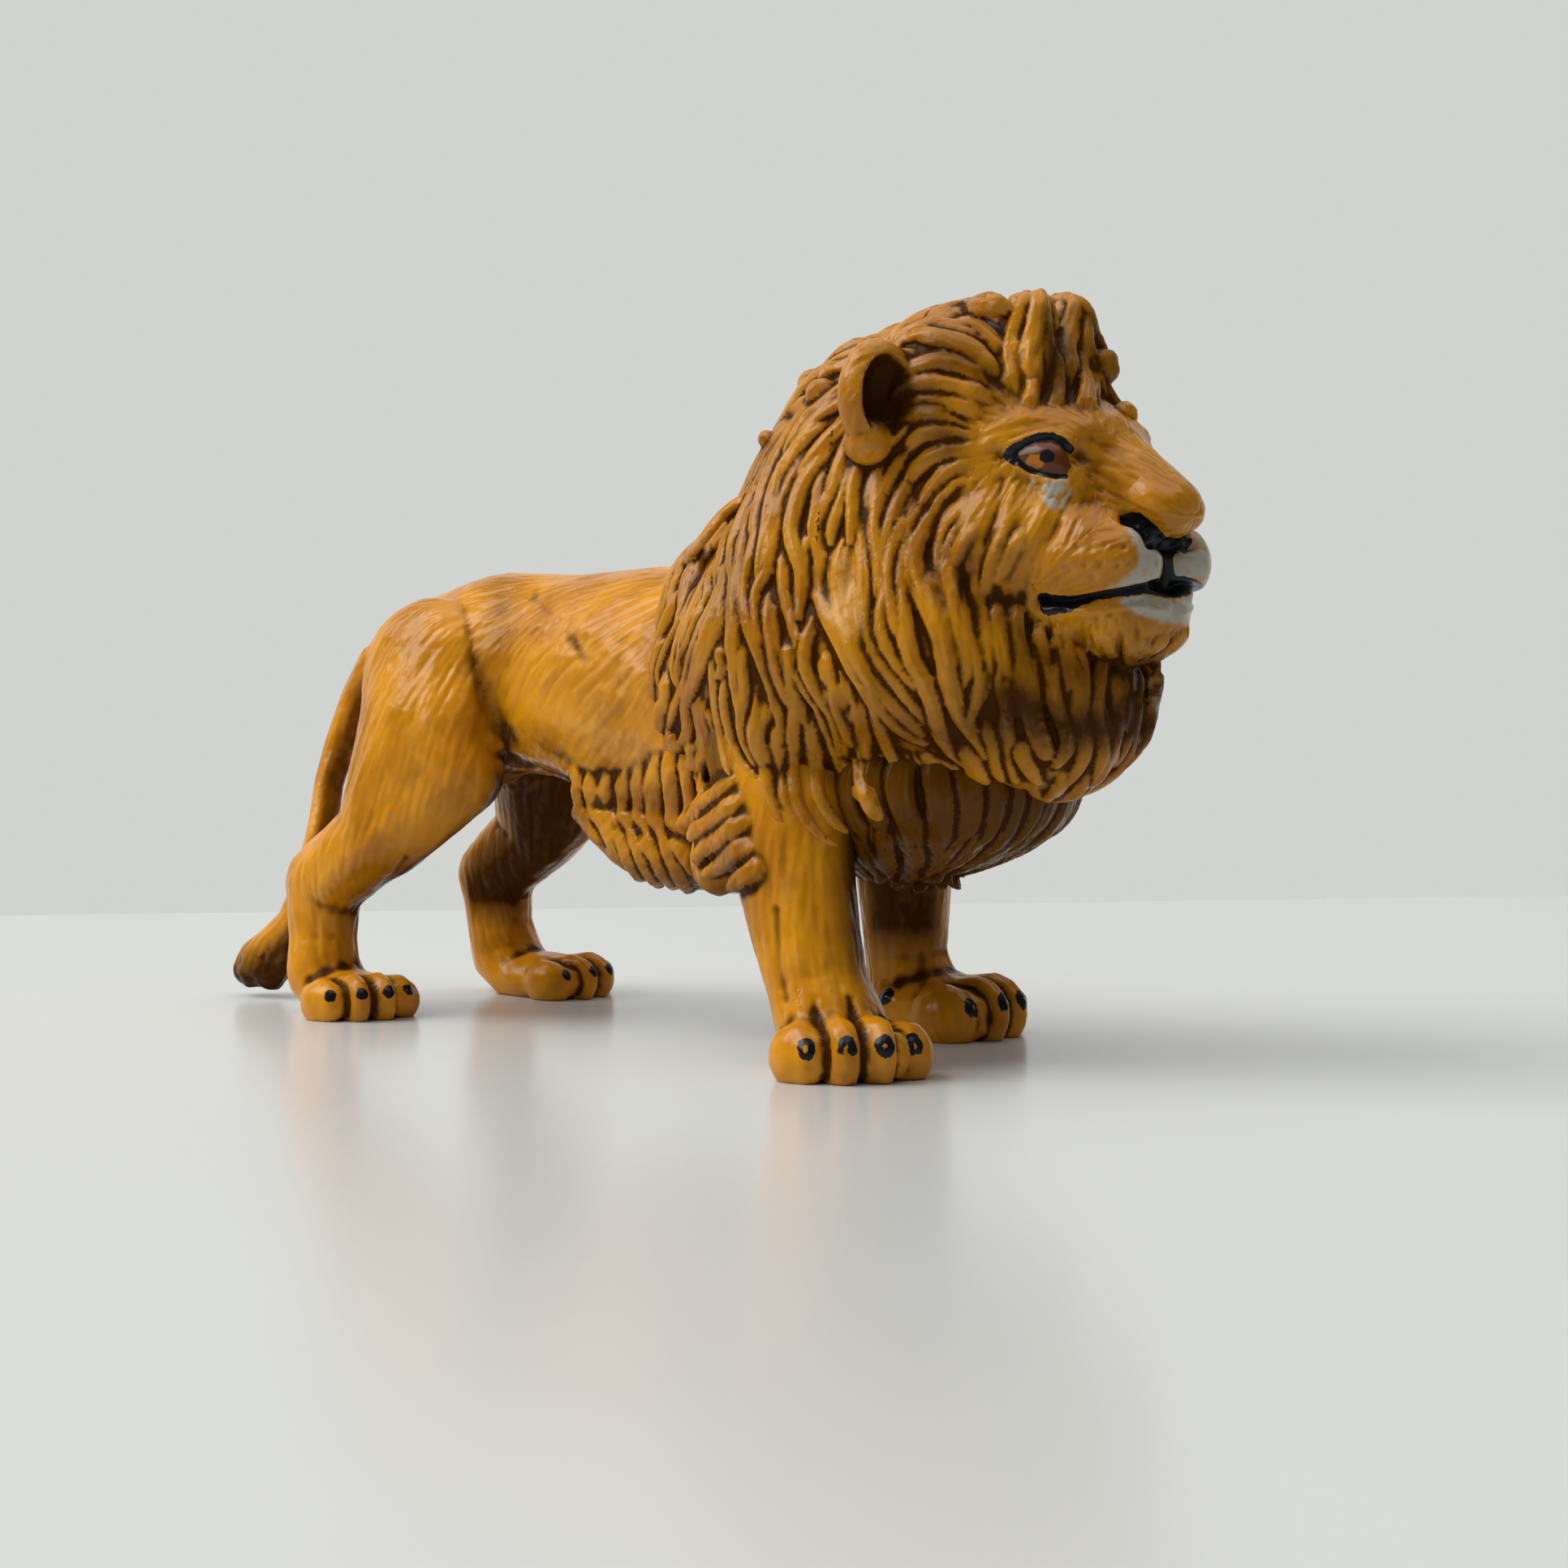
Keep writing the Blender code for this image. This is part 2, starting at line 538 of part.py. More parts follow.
def foot_place(front, side):
    """Where the middle of a paw stands."""
    if front:
        along = WHEELBASE - FORE_SETBACK - side * FORE_STRIDE / 2
        return Vector((along, side * FORE_TRACK / 2, 0.0))
    return Vector((-side * HIND_STRIDE / 2, side * HIND_TRACK / 2, 0.0))


def add_paw(links, place, size, toe_out, side, ankle):
    """Pad and four toes, turned out and sunk a little so that the sole is cut flat."""
    turn = Matrix.Rotation(side * toe_out, 3, "Z")
    sink = Vector((0.0, 0.0, -SOLE_SINK_SHARE * size.z))

    def placed(shares):
        centre, radii = ball(shares, size)
        return place + sink + turn @ centre, radii

    pad, heel = placed(PAD_SHARES), placed(HEEL_SHARES)
    add_link(links, pad, heel)
    add_link(links, heel, ankle)
    for row in TOE_SHARES:
        toe = placed(row)
        add_link(links, toe)
        knuckle = (pad[0].lerp(toe[0], 0.5), toe[1] * KNUCKLE_SHARE)
        add_link(links, toe, knuckle)


def leg(name, front, side):
    """One leg casting, from the haunch or shoulder down to a flat sole."""
    if front:
        rows, pairs = FORE_LEG_SHARES, FORE_LINKS
        top = on_body((SHOULDER_ALONG_SHARE, side * SHOULDER_ACROSS_SHARE, 0.0))
        depth, paw_size, faces = FORE_LEG_DEPTH, FORE_PAW, FORE_FACES
        girth = RIGHT_FORE_GIRTH if side < 0 else LEFT_FORE_GIRTH
        sway = RIGHT_FORE_SWAY if side < 0 else LEFT_FORE_SWAY
        toe_out = RIGHT_FORE_TOE_OUT if side < 0 else LEFT_FORE_TOE_OUT
    else:
        rows, pairs = HIND_LEG_SHARES, HIND_LINKS
        top = on_body((HIP_ALONG_SHARE, side * HIP_ACROSS_SHARE, 0.0))
        depth, paw_size, faces = HIND_LEG_DEPTH, HIND_PAW, HIND_FACES
        girth = HIND_GIRTH
        sway = 0.0 if side < 0 else LEFT_HIND_SWAY
        toe_out = RIGHT_HIND_TOE_OUT if side < 0 else LEFT_HIND_TOE_OUT
    foot = foot_place(front, side)

    def station(row):
        centre = top.lerp(foot, row[0])
        centre.x += row[1] * depth + row[0] * sway
        centre.z = row[2] * BACK_HEIGHT
        return centre, Vector(row[3:]) * girth

    links = bmesh.new()
    stations = {part: station(row) for part, row in rows.items()}
    for first, second in pairs:
        add_link(links, stations[first], stations[second])
    if front:
        tuft = [station(row) for row in ELBOW_TUFT_SHARES]
        add_link(links, stations["elbow"], tuft[0])
        add_link(links, tuft[0], tuft[1])
    lowest = stations["heel" if front else "ankle"]
    add_paw(links, foot, paw_size, toe_out, side, lowest)
    item = fuse(name, links, LEG_GRAIN, LEG_SMOOTHS, faces)
    cut_flat_soles(item)
    return item


def skin_of(mesh):
    """The faces of a mesh, to find places on."""
    return BVHTree.FromPolygons(
        [vertex.co for vertex in mesh.vertices], [face.vertices for face in mesh.polygons]
    )


def surface_at(skin, origin, direction):
    """Where a line from inside a form leaves it for good."""
    place, inward = origin.copy(), None
    while True:
        hit = skin.ray_cast(place, direction)[0]
        if hit is None:
            return inward
        inward = hit
        place = hit + direction * GLUE_GAP


def add_peg(item, seat, out, radius, reach_out, reach_in):
    """Joins a round peg to a casting, and gives back the shape that cuts its socket."""
    start, end = seat + out * reach_out, seat - out * reach_in
    combine(item, rod(start, end, radius), "UNION")
    return rod(start, end - out * PEG_CLEARANCE, radius + PEG_CLEARANCE)


def add_leg_peg(item, body, shares, side):
    """A peg that runs level from a leg into the torso."""
    out = Vector((0.0, side, 0.0))
    seat = surface_at(skin_of(body.data), on_body(shares), out)
    return add_peg(item, seat, out, LEG_PEG_RADIUS, LEG_PEG_OUT, LEG_PEG_IN)


def tail():
    """Tail and tuft, hanging behind the right hind leg."""
    root = on_body(TAIL_ROOT_SHARES)

    def station(row, girth):
        back, swing, down, radius = row
        offset = Vector((-back * TAIL_REACH, -swing * TAIL_SWING, -down * TAIL_DROP))
        return root + offset, Vector((1.0, 1.0, 1.0)) * radius * girth

    links = bmesh.new()
    rope = [station(row, TAIL_GIRTH) for row in TAIL_SHARES]
    tuft = [station(row, TUFT_GIRTH) for row in TUFT_SHARES]
    add_chain(links, rope + tuft)
    item = fuse("tail", links, LEG_GRAIN, TAIL_SMOOTHS, TAIL_FACES)
    cut_flat_soles(item)
    return item


def add_tail_peg(item, body):
    """A peg on the tail that slopes up and forwards into the rump, and its socket."""
    out = Vector((-cos(TAIL_PEG_DIP), 0.0, -sin(TAIL_PEG_DIP)))
    seat = surface_at(skin_of(body.data), on_body(TAIL_ROOT_SHARES), out)
    return add_peg(item, seat, out, TAIL_PEG_RADIUS, TAIL_PEG_OUT, TAIL_PEG_IN)


def lay_lock(skin, heart, row, side):
    """Balls of one lock, laid on the mass from station to station."""
    thickness, stations = row[0], [row[first:first + 3] for first in range(1, len(row), 3)]
    rows = [
        [(1.0 - step / LOCK_STEPS) * low + step / LOCK_STEPS * high for low, high in zip(*pair)]
        for pair in zip(stations, stations[1:])
        for step in range(LOCK_STEPS)
    ]
    rows.append(stations[-1])
    balls = []
    for count, (forward, turn, off) in enumerate(rows):
        outward = Vector((0.0, side * sin(turn * pi), cos(turn * pi)))
        middle = heart + Vector((forward * MANE_LENGTH, 0.0, 0.0))
        place = surface_at(skin, middle, outward)
        if place is None:
            place = skin.find_nearest(middle)[0]
        taper = {0: LOCK_ROOT_SHARE, len(rows) - 1: LOCK_TIP_SHARE}.get(count, 1.0)
        radius = LOCK_RADIUS * thickness * taper
        balls.append((place + outward * off * MANE_WIDTH, Vector((radius, radius, radius))))
    return balls


def ear_frame(side):
    """Middle of an ear and how it is turned to face outwards."""
    head_size = (HEAD_LENGTH, HEAD_WIDTH, HEAD_HEIGHT)
    origin = Vector((WHEELBASE * MANE_JOINT_SHARE, 0.0, CHIN_HEIGHT))
    place = ball((*EAR_SHARES, 0.0, 0.0, 0.0), head_size, origin)[0]
    place.y *= side
    return place, Matrix.Rotation(side * EAR_TURN, 4, "Z")


def cut_ear_cups(item):
    """Hollows the front of each ear."""
    for side in (-1, 1):
        place, turn = ear_frame(side)
        shape = bmesh.new()
        add_ball(shape, place + turn @ Vector((CUP_FORWARD, 0.0, 0.0)), CUP_SIZE / 2, turn)
        mesh = bpy.data.meshes.new("cup")
        shape.to_mesh(mesh)
        shape.free()
        combine(item, new_object("cup", mesh), "DIFFERENCE")


def head_and_mane():
    """The whole head with its mane as one form, before it is parted at the mane joint."""
    joint = WHEELBASE * MANE_JOINT_SHARE
    mane_size = (MANE_LENGTH, MANE_WIDTH, MANE_HEIGHT)
    head_size = (HEAD_LENGTH, HEAD_WIDTH, HEAD_HEIGHT)
    head_origin = Vector((joint, 0.0, CHIN_HEIGHT))
    mane_origin = Vector((joint, 0.0, 0.0))
    mass = {part: ball(row, mane_size, mane_origin) for part, row in MANE_SHARES.items()}
    face = {part: ball(row, head_size, head_origin) for part, row in HEAD_SHARES.items()}
    links = bmesh.new()
    for first, second in MANE_LINKS:
        add_link(links, mass[first], mass[second])
    for first, second in HEAD_LINKS:
        add_link(links, face[first], face[second])
    for row in FORELOCK_SHARES:
        foot = ball(row[:6], head_size, head_origin)
        tip = ball(row[6:], head_size, head_origin)
        add_link(links, foot, tip)
        add_link(links, foot, face["skull"])
    core = bpy.data.meshes.new("core")
    links.to_mesh(core)
    skin = skin_of(core)
    heart = mass["side"][0].lerp(mass["crown"][0], 0.5)
    heart.x = joint
    for side in (-1, 1):
        for row in LOCK_SHARES:
            add_chain(links, lay_lock(skin, heart, row, side))
        paired = [ball(row, head_size, head_origin) for row in PAIRED_SHARES]
        for centre, _ in paired:
            centre.y *= side
        cheek, whisker_pad, lid = paired
        add_link(links, cheek, whisker_pad)
        add_link(links, lid)
        ear_place, ear_turn = ear_frame(side)
        add_ball(links, ear_place, EAR_SIZE / 2, ear_turn)
    return fuse("head", links, MANE_GRAIN, MANE_SMOOTHS, MANE_FACES)


def part_at_joint(whole):
    """Parts the head from the mane collar on a flat joint, half the glue gap to each side."""
    joint = WHEELBASE * MANE_JOINT_SHARE
    collar = new_object("mane_collar", whole.data.copy())
    head_back, collar_front = far_corner(), -far_corner()
    head_back.x = joint + GLUE_GAP / 2
    collar_front.x = joint - GLUE_GAP / 2
    combine(whole, block(-far_corner(), head_back), "DIFFERENCE")
    combine(collar, block(collar_front, far_corner()), "DIFFERENCE")
    keep_largest(whole)
    keep_largest(collar)
    return collar


def chest_ruff():
    """Hair between the forelegs, with a row of lock tips round its lower edge."""
    size = (RUFF_LENGTH, RUFF_WIDTH, RUFF_DEPTH)
    chest = (WHEELBASE, BODY_WIDTH, MANE_HEIGHT)
    centre = ball((*RUFF_CENTRE_SHARES, 0.0, 0.0, 0.0), chest)[0]
    links = bmesh.new()
    add_chain(links, [ball(row, size, centre) for row in RUFF_SHARES])
    for count in range(RUFF_LOCKS):
        turn = 2 * pi * count / RUFF_LOCKS
        top_x, top_y, top_z, tip_x, tip_y, tip_z = RUFF_LOCK_SHARES
        radius = Vector((1.0, 1.0, 1.0)) * RUFF_LOCK_RADIUS
        top = ball((top_x * cos(turn), top_y * sin(turn), top_z, 0, 0, 0), size, centre)[0]
        lean = RUFF_LEAN_SHARE * (1.0 - cos(turn)) / 2 + RUFF_LEAN_SHARE
        tip = ball((tip_x * cos(turn) + lean, tip_y * sin(turn), tip_z, 0, 0, 0), size, centre)[0]
        add_link(links, (top, radius), (tip, radius * RUFF_TIP_SHARE))
    return fuse("chest_ruff", links, LEG_GRAIN, RUFF_SMOOTHS, RUFF_FACES)


def finish(item, kind):
    item.data.materials.clear()
    item.data.materials.append(plastic(kind))
    item.data.shade_smooth()
    item.data.set_sharp_from_angle(angle=SHARP_ANGLE)


def stand_on_origin(items):
    """Moves the figure so that the middle of its footprint is the origin."""
    corners = [vertex.co for item in items for vertex in item.data.vertices]
    low = Vector(min(corner[axis] for corner in corners) for axis in range(3))
    high = Vector(max(corner[axis] for corner in corners) for axis in range(3))
    shift = Vector((-(low.x + high.x) / 2, -(low.y + high.y) / 2, -low.z))
    for item in items:
        item.data.transform(Matrix.Translation(shift))


clear_scene()
body = torso()
legs = {
    "right_hind_leg": leg("right_hind_leg", False, -1),
    "left_hind_leg": leg("left_hind_leg", False, 1),
    "right_foreleg": leg("right_foreleg", True, -1),
    "left_foreleg": leg("left_foreleg", True, 1),
}
sockets = []
for leg_name, limb in legs.items():
    cut_clear_of(limb, body)
    shares = FORE_PEG_SHARES if "fore" in leg_name else HIND_PEG_SHARES
    sockets.append(add_leg_peg(limb, body, shares, -1 if "right" in leg_name else 1))
tail_casting = tail()
cut_clear_of(tail_casting, body)
sockets.append(add_tail_peg(tail_casting, body))
for socket in sockets:
    combine(body, socket, "DIFFERENCE")

head = head_and_mane()
mane = part_at_joint(head)
cut_ear_cups(head)
forelegs = (legs["right_foreleg"], legs["left_foreleg"])
cut_clear_of(mane, body, *forelegs)
cut_clear_of(head, body, *forelegs)
neck_start, neck_way = neck_line()
neck_end = neck_start + neck_way * NECK_PLUG_LENGTH
combine(body, rod(neck_start, neck_end, NECK_PLUG_RADIUS), "UNION")
bore_end = neck_end + neck_way * PEG_CLEARANCE
for casting in (mane, head):
    combine(casting, rod(neck_start, bore_end, NECK_PLUG_RADIUS + PEG_CLEARANCE), "DIFFERENCE")
    keep_largest(casting)
ruff = chest_ruff()
cut_clear_of(ruff, body, *forelegs, mane, head)

castings = [body, *legs.values(), tail_casting, mane, head, ruff]
kinds = {"mane_collar": "mane", "head": "mane", "chest_ruff": "ruff"}
for casting in castings:
    finish(casting, kinds.get(casting.name, "body"))
stand_on_origin(castings)
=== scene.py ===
"""A moulded toy lion standing on a white table, with its painted face, combed mane and fur.

Places are given in millimetres from the point on the table midway between the hind feet: ahead,
to the lion's left, and up. Places found in the photograph are given in its own pixels.
"""

import json
from math import cos, pi, radians, sin

import bpy
import numpy as np
from mathutils import Matrix, Vector
from mathutils.bvhtree import BVHTree
from mathutils.kdtree import KDTree

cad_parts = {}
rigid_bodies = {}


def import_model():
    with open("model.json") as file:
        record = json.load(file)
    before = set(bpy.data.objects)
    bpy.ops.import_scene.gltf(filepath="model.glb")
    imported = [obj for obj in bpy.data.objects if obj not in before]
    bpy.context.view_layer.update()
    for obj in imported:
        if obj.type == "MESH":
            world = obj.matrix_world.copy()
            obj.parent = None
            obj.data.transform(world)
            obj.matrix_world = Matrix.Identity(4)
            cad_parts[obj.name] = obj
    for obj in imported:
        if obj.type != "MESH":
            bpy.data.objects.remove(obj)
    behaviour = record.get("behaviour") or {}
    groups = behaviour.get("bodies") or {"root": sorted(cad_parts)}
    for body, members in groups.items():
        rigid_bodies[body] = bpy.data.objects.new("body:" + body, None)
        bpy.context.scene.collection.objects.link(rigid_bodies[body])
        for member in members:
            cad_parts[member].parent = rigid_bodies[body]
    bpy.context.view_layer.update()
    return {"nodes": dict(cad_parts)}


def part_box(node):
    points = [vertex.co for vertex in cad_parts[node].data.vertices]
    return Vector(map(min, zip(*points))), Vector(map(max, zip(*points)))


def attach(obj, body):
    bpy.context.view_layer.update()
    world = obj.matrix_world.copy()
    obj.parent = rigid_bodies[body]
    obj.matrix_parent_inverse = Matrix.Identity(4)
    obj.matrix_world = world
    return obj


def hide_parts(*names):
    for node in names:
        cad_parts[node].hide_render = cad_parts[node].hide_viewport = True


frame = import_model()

# Camera: it stands low, ahead of the lion and to its right, and looks back past the face along
# the flank. The photograph is square and is taken with a long lens from a third of a metre.

MM = 0.001
MANE_JOINT_AHEAD = 69.3138
TORSO_LOW, TORSO_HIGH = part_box("torso")
HIND_FEET = Vector((
    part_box("mane_collar")[1].x - MANE_JOINT_AHEAD * MM,
    (TORSO_LOW.y + TORSO_HIGH.y) / 2,
    0.0,
))
SIGHT = Vector((-0.6524, 0.7566, -0.044)).normalized()
PHOTO_SIDE = 1932
FOCAL_PIXELS = 3750
SENSOR = 36.0
UPWARDS = Vector((0.0, 0.0, 1.0))
RIGHTWARDS = SIGHT.cross(UPWARDS).normalized()


def at(ahead, left, up):
    return HIND_FEET + Vector((ahead, left, up)) * MM


def sight_line(x, y):
    """The way the camera looks through a pixel of the photograph."""
    middle = PHOTO_SIDE / 2
    across, down = RIGHTWARDS * (x - middle), RIGHTWARDS.cross(SIGHT) * (y - middle)
    return (SIGHT * FOCAL_PIXELS + across - down).normalized()


EYE = at(257.4, -239.8, 40.8)
bpy.ops.object.camera_add(location=EYE)
camera = bpy.context.object
camera.name = "camera"
camera.rotation_euler = SIGHT.to_track_quat("-Z", "Y").to_euler()
camera.data.sensor_width = SENSOR
camera.data.lens = SENSOR * FOCAL_PIXELS / PHOTO_SIDE
camera.data.clip_start = 0.01
camera.data.clip_end = 30.0
bpy.context.scene.camera = camera
bpy.context.scene.view_settings.view_transform = "Standard"

# Table, room and lamps: a white lacquered table top that ends a hand's width behind the toy, and
# a pale wall that it reflects. A wide soft window high on the left casts the shadows rightwards,
# and a white ceiling sends the rest of the light straight down.

TABLE_REACH = 3.0
TABLE_EDGE_LEFT, TABLE_EDGE_RIGHT = (0, 1128), (1932, 1104)
TABLE_WHITE = (0.67, 0.68, 0.66, 1.0)
ROOM_SEEN = (0.640, 0.655, 0.635, 1.0)
ROOM_LIGHT = (0.93, 0.97, 1.0, 1.0)
ROOM_STRENGTH = 0.13
WALL_BEHIND = 1.4
WALL_SIZE, WALL_UP = (6.0, 1.8), 0.3
WINDOW_WATTS = 22.5
WINDOW_SIDE = 1.20
WINDOW_LEFT, WINDOW_NEARER, WINDOW_UP = 1.20, 0.15, 1.15
CEILING_WATTS = 11.0
CEILING_SIDE = 1.60
CEILING_HEIGHT = 1.30


def on_table(x, y):
    way = sight_line(x, y)
    return EYE - way * (EYE.z / way.z)


def feed(tree, value, socket):
    """Gives a socket the output of another node or a value of its own."""
    if hasattr(value, "links"):
        tree.links.new(value, socket)
    else:
        socket.default_value = value


def add_node(tree, kind, **inputs):
    """A new node with what its inputs get. In their names, a line stands for a space."""
    node = tree.nodes.new("ShaderNode" + kind)
    for name, value in inputs.items():
        feed(tree, value, node.inputs[name.replace("_", " ")])
    return node


def worked(tree, kind, first, second, clamp=False):
    """Two values added, taken away or multiplied, or the greater of them."""
    node = add_node(tree, "Math")
    node.operation = kind
    node.use_clamp = clamp
    feed(tree, first, node.inputs[0])
    feed(tree, second, node.inputs[1])
    return node.outputs[0]


def flat_piece(name, sides, middle, axes, material):
    """A flat piece of the room, from the ways along it, up it and out of it."""
    bpy.ops.object.select_all(action="DESELECT")
    bpy.ops.mesh.primitive_plane_add(size=1.0)
    plane = bpy.context.object
    plane.name = name
    turn = Matrix(axes).transposed().to_4x4()
    plane.data.transform(Matrix.Translation(middle) @ turn @ Matrix.Diagonal((*sides, 1.0, 1.0)))
    plane.data.materials.append(material)
    return plane


def lamp(name, place, side, watts):
    bpy.ops.object.light_add(type="AREA", location=place)
    made = bpy.context.object
    made.name = name
    made.data.shape = "SQUARE"
    made.data.size = side
    made.data.energy = watts
    return made


edge_left, edge_right = on_table(*TABLE_EDGE_LEFT), on_table(*TABLE_EDGE_RIGHT)
edge_way = (edge_right - edge_left).normalized()
back_way = UPWARDS.cross(edge_way)
edge_middle = (edge_left + edge_right) / 2
lacquer = bpy.data.materials.new("white_lacquer")
lacquer.use_nodes = True
tree = lacquer.node_tree
shader = tree.nodes["Principled BSDF"]
shader.inputs["Base Color"].default_value = TABLE_WHITE
shader.inputs["Roughness"].default_value = 0.22
shader.inputs["Specular IOR Level"].default_value = 0.32
place = add_node(tree, "TexCoord").outputs["Object"]
ripple = add_node(tree, "TexNoise", Vector=place, Scale=14.0, Detail=3.0).outputs["Fac"]
bump = add_node(tree, "Bump", Height=ripple, Strength=0.10, Distance=0.002)
feed(tree, bump.outputs["Normal"], shader.inputs["Normal"])
table_middle = edge_middle - back_way * TABLE_REACH / 2
axes = (edge_way, back_way, UPWARDS)
table_top = flat_piece("table_top", (TABLE_REACH, TABLE_REACH), table_middle, axes, lacquer)

paint = bpy.data.materials.new("pale_wall_paint")
paint.use_nodes = True
shader = paint.node_tree.nodes["Principled BSDF"]
shader.inputs["Base Color"].default_value = (0.0, 0.0, 0.0, 1.0)
shader.inputs["Specular IOR Level"].default_value = 0.0
shader.inputs["Emission Color"].default_value = ROOM_SEEN
shader.inputs["Emission Strength"].default_value = 1.0
wall_middle = edge_middle + back_way * WALL_BEHIND + UPWARDS * WALL_SIZE[1] * WALL_UP
wall = flat_piece("wall", WALL_SIZE, wall_middle, (edge_way, UPWARDS, back_way), paint)

room = bpy.data.worlds.new("room")
bpy.context.scene.world = room
room.use_nodes = True
tree = room.node_tree
tree.nodes.clear()
lit = add_node(tree, "Background", Color=ROOM_LIGHT, Strength=ROOM_STRENGTH)
seen = add_node(tree, "Background", Color=ROOM_SEEN, Strength=1.0)
rays = add_node(tree, "LightPath").outputs
either = worked(tree, "MAXIMUM", rays["Is Camera Ray"], rays["Is Transmission Ray"])
room_mix = add_node(tree, "MixShader")
for value, socket in zip((either, lit.outputs[0], seen.outputs[0]), room_mix.inputs):
    feed(tree, value, socket)
add_node(tree, "OutputWorld", Surface=room_mix.outputs[0])

window_place = (
    at(40, 0, 40) - RIGHTWARDS * WINDOW_LEFT - SIGHT * WINDOW_NEARER + UPWARDS * WINDOW_UP
)
window = lamp("window", window_place, WINDOW_SIDE, WINDOW_WATTS)
window.rotation_euler = (at(45, 0, 38) - window_place).to_track_quat("-Z", "Y").to_euler()
window.data.color = (1.0, 0.99, 0.97)
lamp("ceiling", at(40, 0, 0) + UPWARDS * CEILING_HEIGHT, CEILING_SIDE, CEILING_WATTS)

# Trunk and legs: separate castings of solid ochre plastic whose joints are filled and rubbed
# down before painting, so that haunch and shoulder run into the flank with hardly a line. Fine
# fur strokes are cut along the way the coat lies.

BODY_NODES = ("torso", "right_hind_leg", "left_hind_leg", "right_foreleg", "left_foreleg")
STROKE_SAMPLES, STROKE_CONTRAST = 9, 2.3
# Where a sight line that misses the lion is looked along for it: from, to and step in metres
LION_AWAY = (0.25, 0.45, 0.002)
STRAND_SIDES, STRAND_CUTS = 9, 17
PAINT_SOFTNESS = 14.0
FILLER = 0.30 * MM
FAR_LEG_FILL = 0.75 * MM
BODY_FILLED_STEP = 0.34 * MM
BODY_ROUNDS = 6
BODY_SKIN_STEP = 0.31 * MM


def leave():
    """Goes back out of edit mode."""
    if bpy.context.mode != "OBJECT":
        bpy.ops.object.mode_set(mode="OBJECT")


def only(item):
    """Selects one object alone, out of edit mode."""
    leave()
    bpy.ops.object.select_all(action="DESELECT")
    item.select_set(True)
    bpy.context.view_layer.objects.active = item


def edit(item, kind="VERT", action="DESELECT"):
    """Opens one mesh for editing, with nothing or everything on it selected."""
    only(item)
    bpy.ops.object.mode_set(mode="EDIT")
    bpy.ops.mesh.select_mode(type=kind)
    bpy.ops.mesh.select_all(action=action)


def linked(name, mesh):
    """A new object in the scene with a mesh of its own."""
    item = bpy.data.objects.new(name, mesh)
    bpy.context.scene.collection.objects.link(item)
    return item


def copy_of_node(name):
    """A merged copy of a casting, to work on."""
    item = linked("work_" + name, frame["nodes"][name].data.copy())
    edit(item, action="SELECT")
    bpy.ops.mesh.remove_doubles(threshold=0.00001)
    leave()
    return item


def apply(item, kind, **settings):
    """Adds a modifier and applies it."""
    only(item)
    step = item.modifiers.new(kind.lower(), kind)
    for name, value in settings.items():
        setattr(step, name, value)
    bpy.ops.object.modifier_apply(modifier=step.name)


def join(items):
    only(items[0])
    for item in items[1:]:
        item.select_set(True)
    bpy.ops.object.join()
    return items[0]


def fuse(item, step, rounds):
    """Melts overlapping shells into one skin, smooths it and drops what floats inside."""
    apply(item, "REMESH", mode="VOXEL", voxel_size=step)
    apply(item, "SMOOTH", factor=0.5, iterations=rounds)
    edit(item)
    leave()
    max(item.data.vertices, key=lambda vertex: vertex.co.z).select = True
    bpy.ops.object.mode_set(mode="EDIT")
    bpy.ops.mesh.select_linked()
    bpy.ops.mesh.select_all(action="INVERT")
    bpy.ops.mesh.delete(type="VERT")
    leave()
    item.data.materials.clear()


def add_ball(centre, radii, turn=0.0):
    """Adds one squashed ball to the mesh being edited, or as an object of its own."""
    if bpy.context.mode == "OBJECT":
        bpy.ops.object.select_all(action="DESELECT")
    bpy.ops.mesh.primitive_ico_sphere_add(
        subdivisions=4, radius=1.0, location=centre, rotation=(0.0, 0.0, turn), scale=radii
    )
    return bpy.context.object


def stretched_skins(name, links):
    """Skins stretched round pairs of balls, each given as place and radii in millimetres."""
    bpy.ops.object.select_all(action="DESELECT")
    bpy.ops.object.add(type="MESH")
    item = bpy.context.object
    item.name = name
    edit(item)
    for balls in links:
        for ball in balls:
            add_ball(at(*ball[:3]), Vector(ball[3:]) * MM)
        bpy.ops.mesh.select_all(action="SELECT")
        if len(balls) > 1:
            bpy.ops.mesh.convex_hull()
        bpy.ops.mesh.hide()
    bpy.ops.mesh.reveal()
    leave()
    return item


def read(rows, field, kind=np.float32, wide=1):
    """One field of every row of a mesh's table, such as the places of its vertices."""
    values = np.empty(len(rows) * wide, kind)
    rows.foreach_get(field, values)
    return values.reshape(-1, wide) if wide > 1 else values


def points_of(item):
    """Places of the vertices and the way each one faces."""
    mesh = item.data
    places, facing = read(mesh.vertices, "co", wide=3), read(mesh.vertex_normals, "vector", wide=3)
    return places.astype(float), facing.astype(float)


def move_points(item, places):
    item.data.vertices.foreach_set("co", places.astype(np.float32).ravel())
    item.data.update()


def limited(values, most=1.0):
    return np.clip(values, 0.0, most)


def unit(rows):
    """Each row made one long."""
    return rows / np.maximum(np.linalg.norm(rows, axis=1), 1e-9)[:, None]


def levelled(ways, facing):
    """Ways kept on the skin, square to the way it faces."""
    return ways - facing * (ways * facing).sum(1)[:, None]


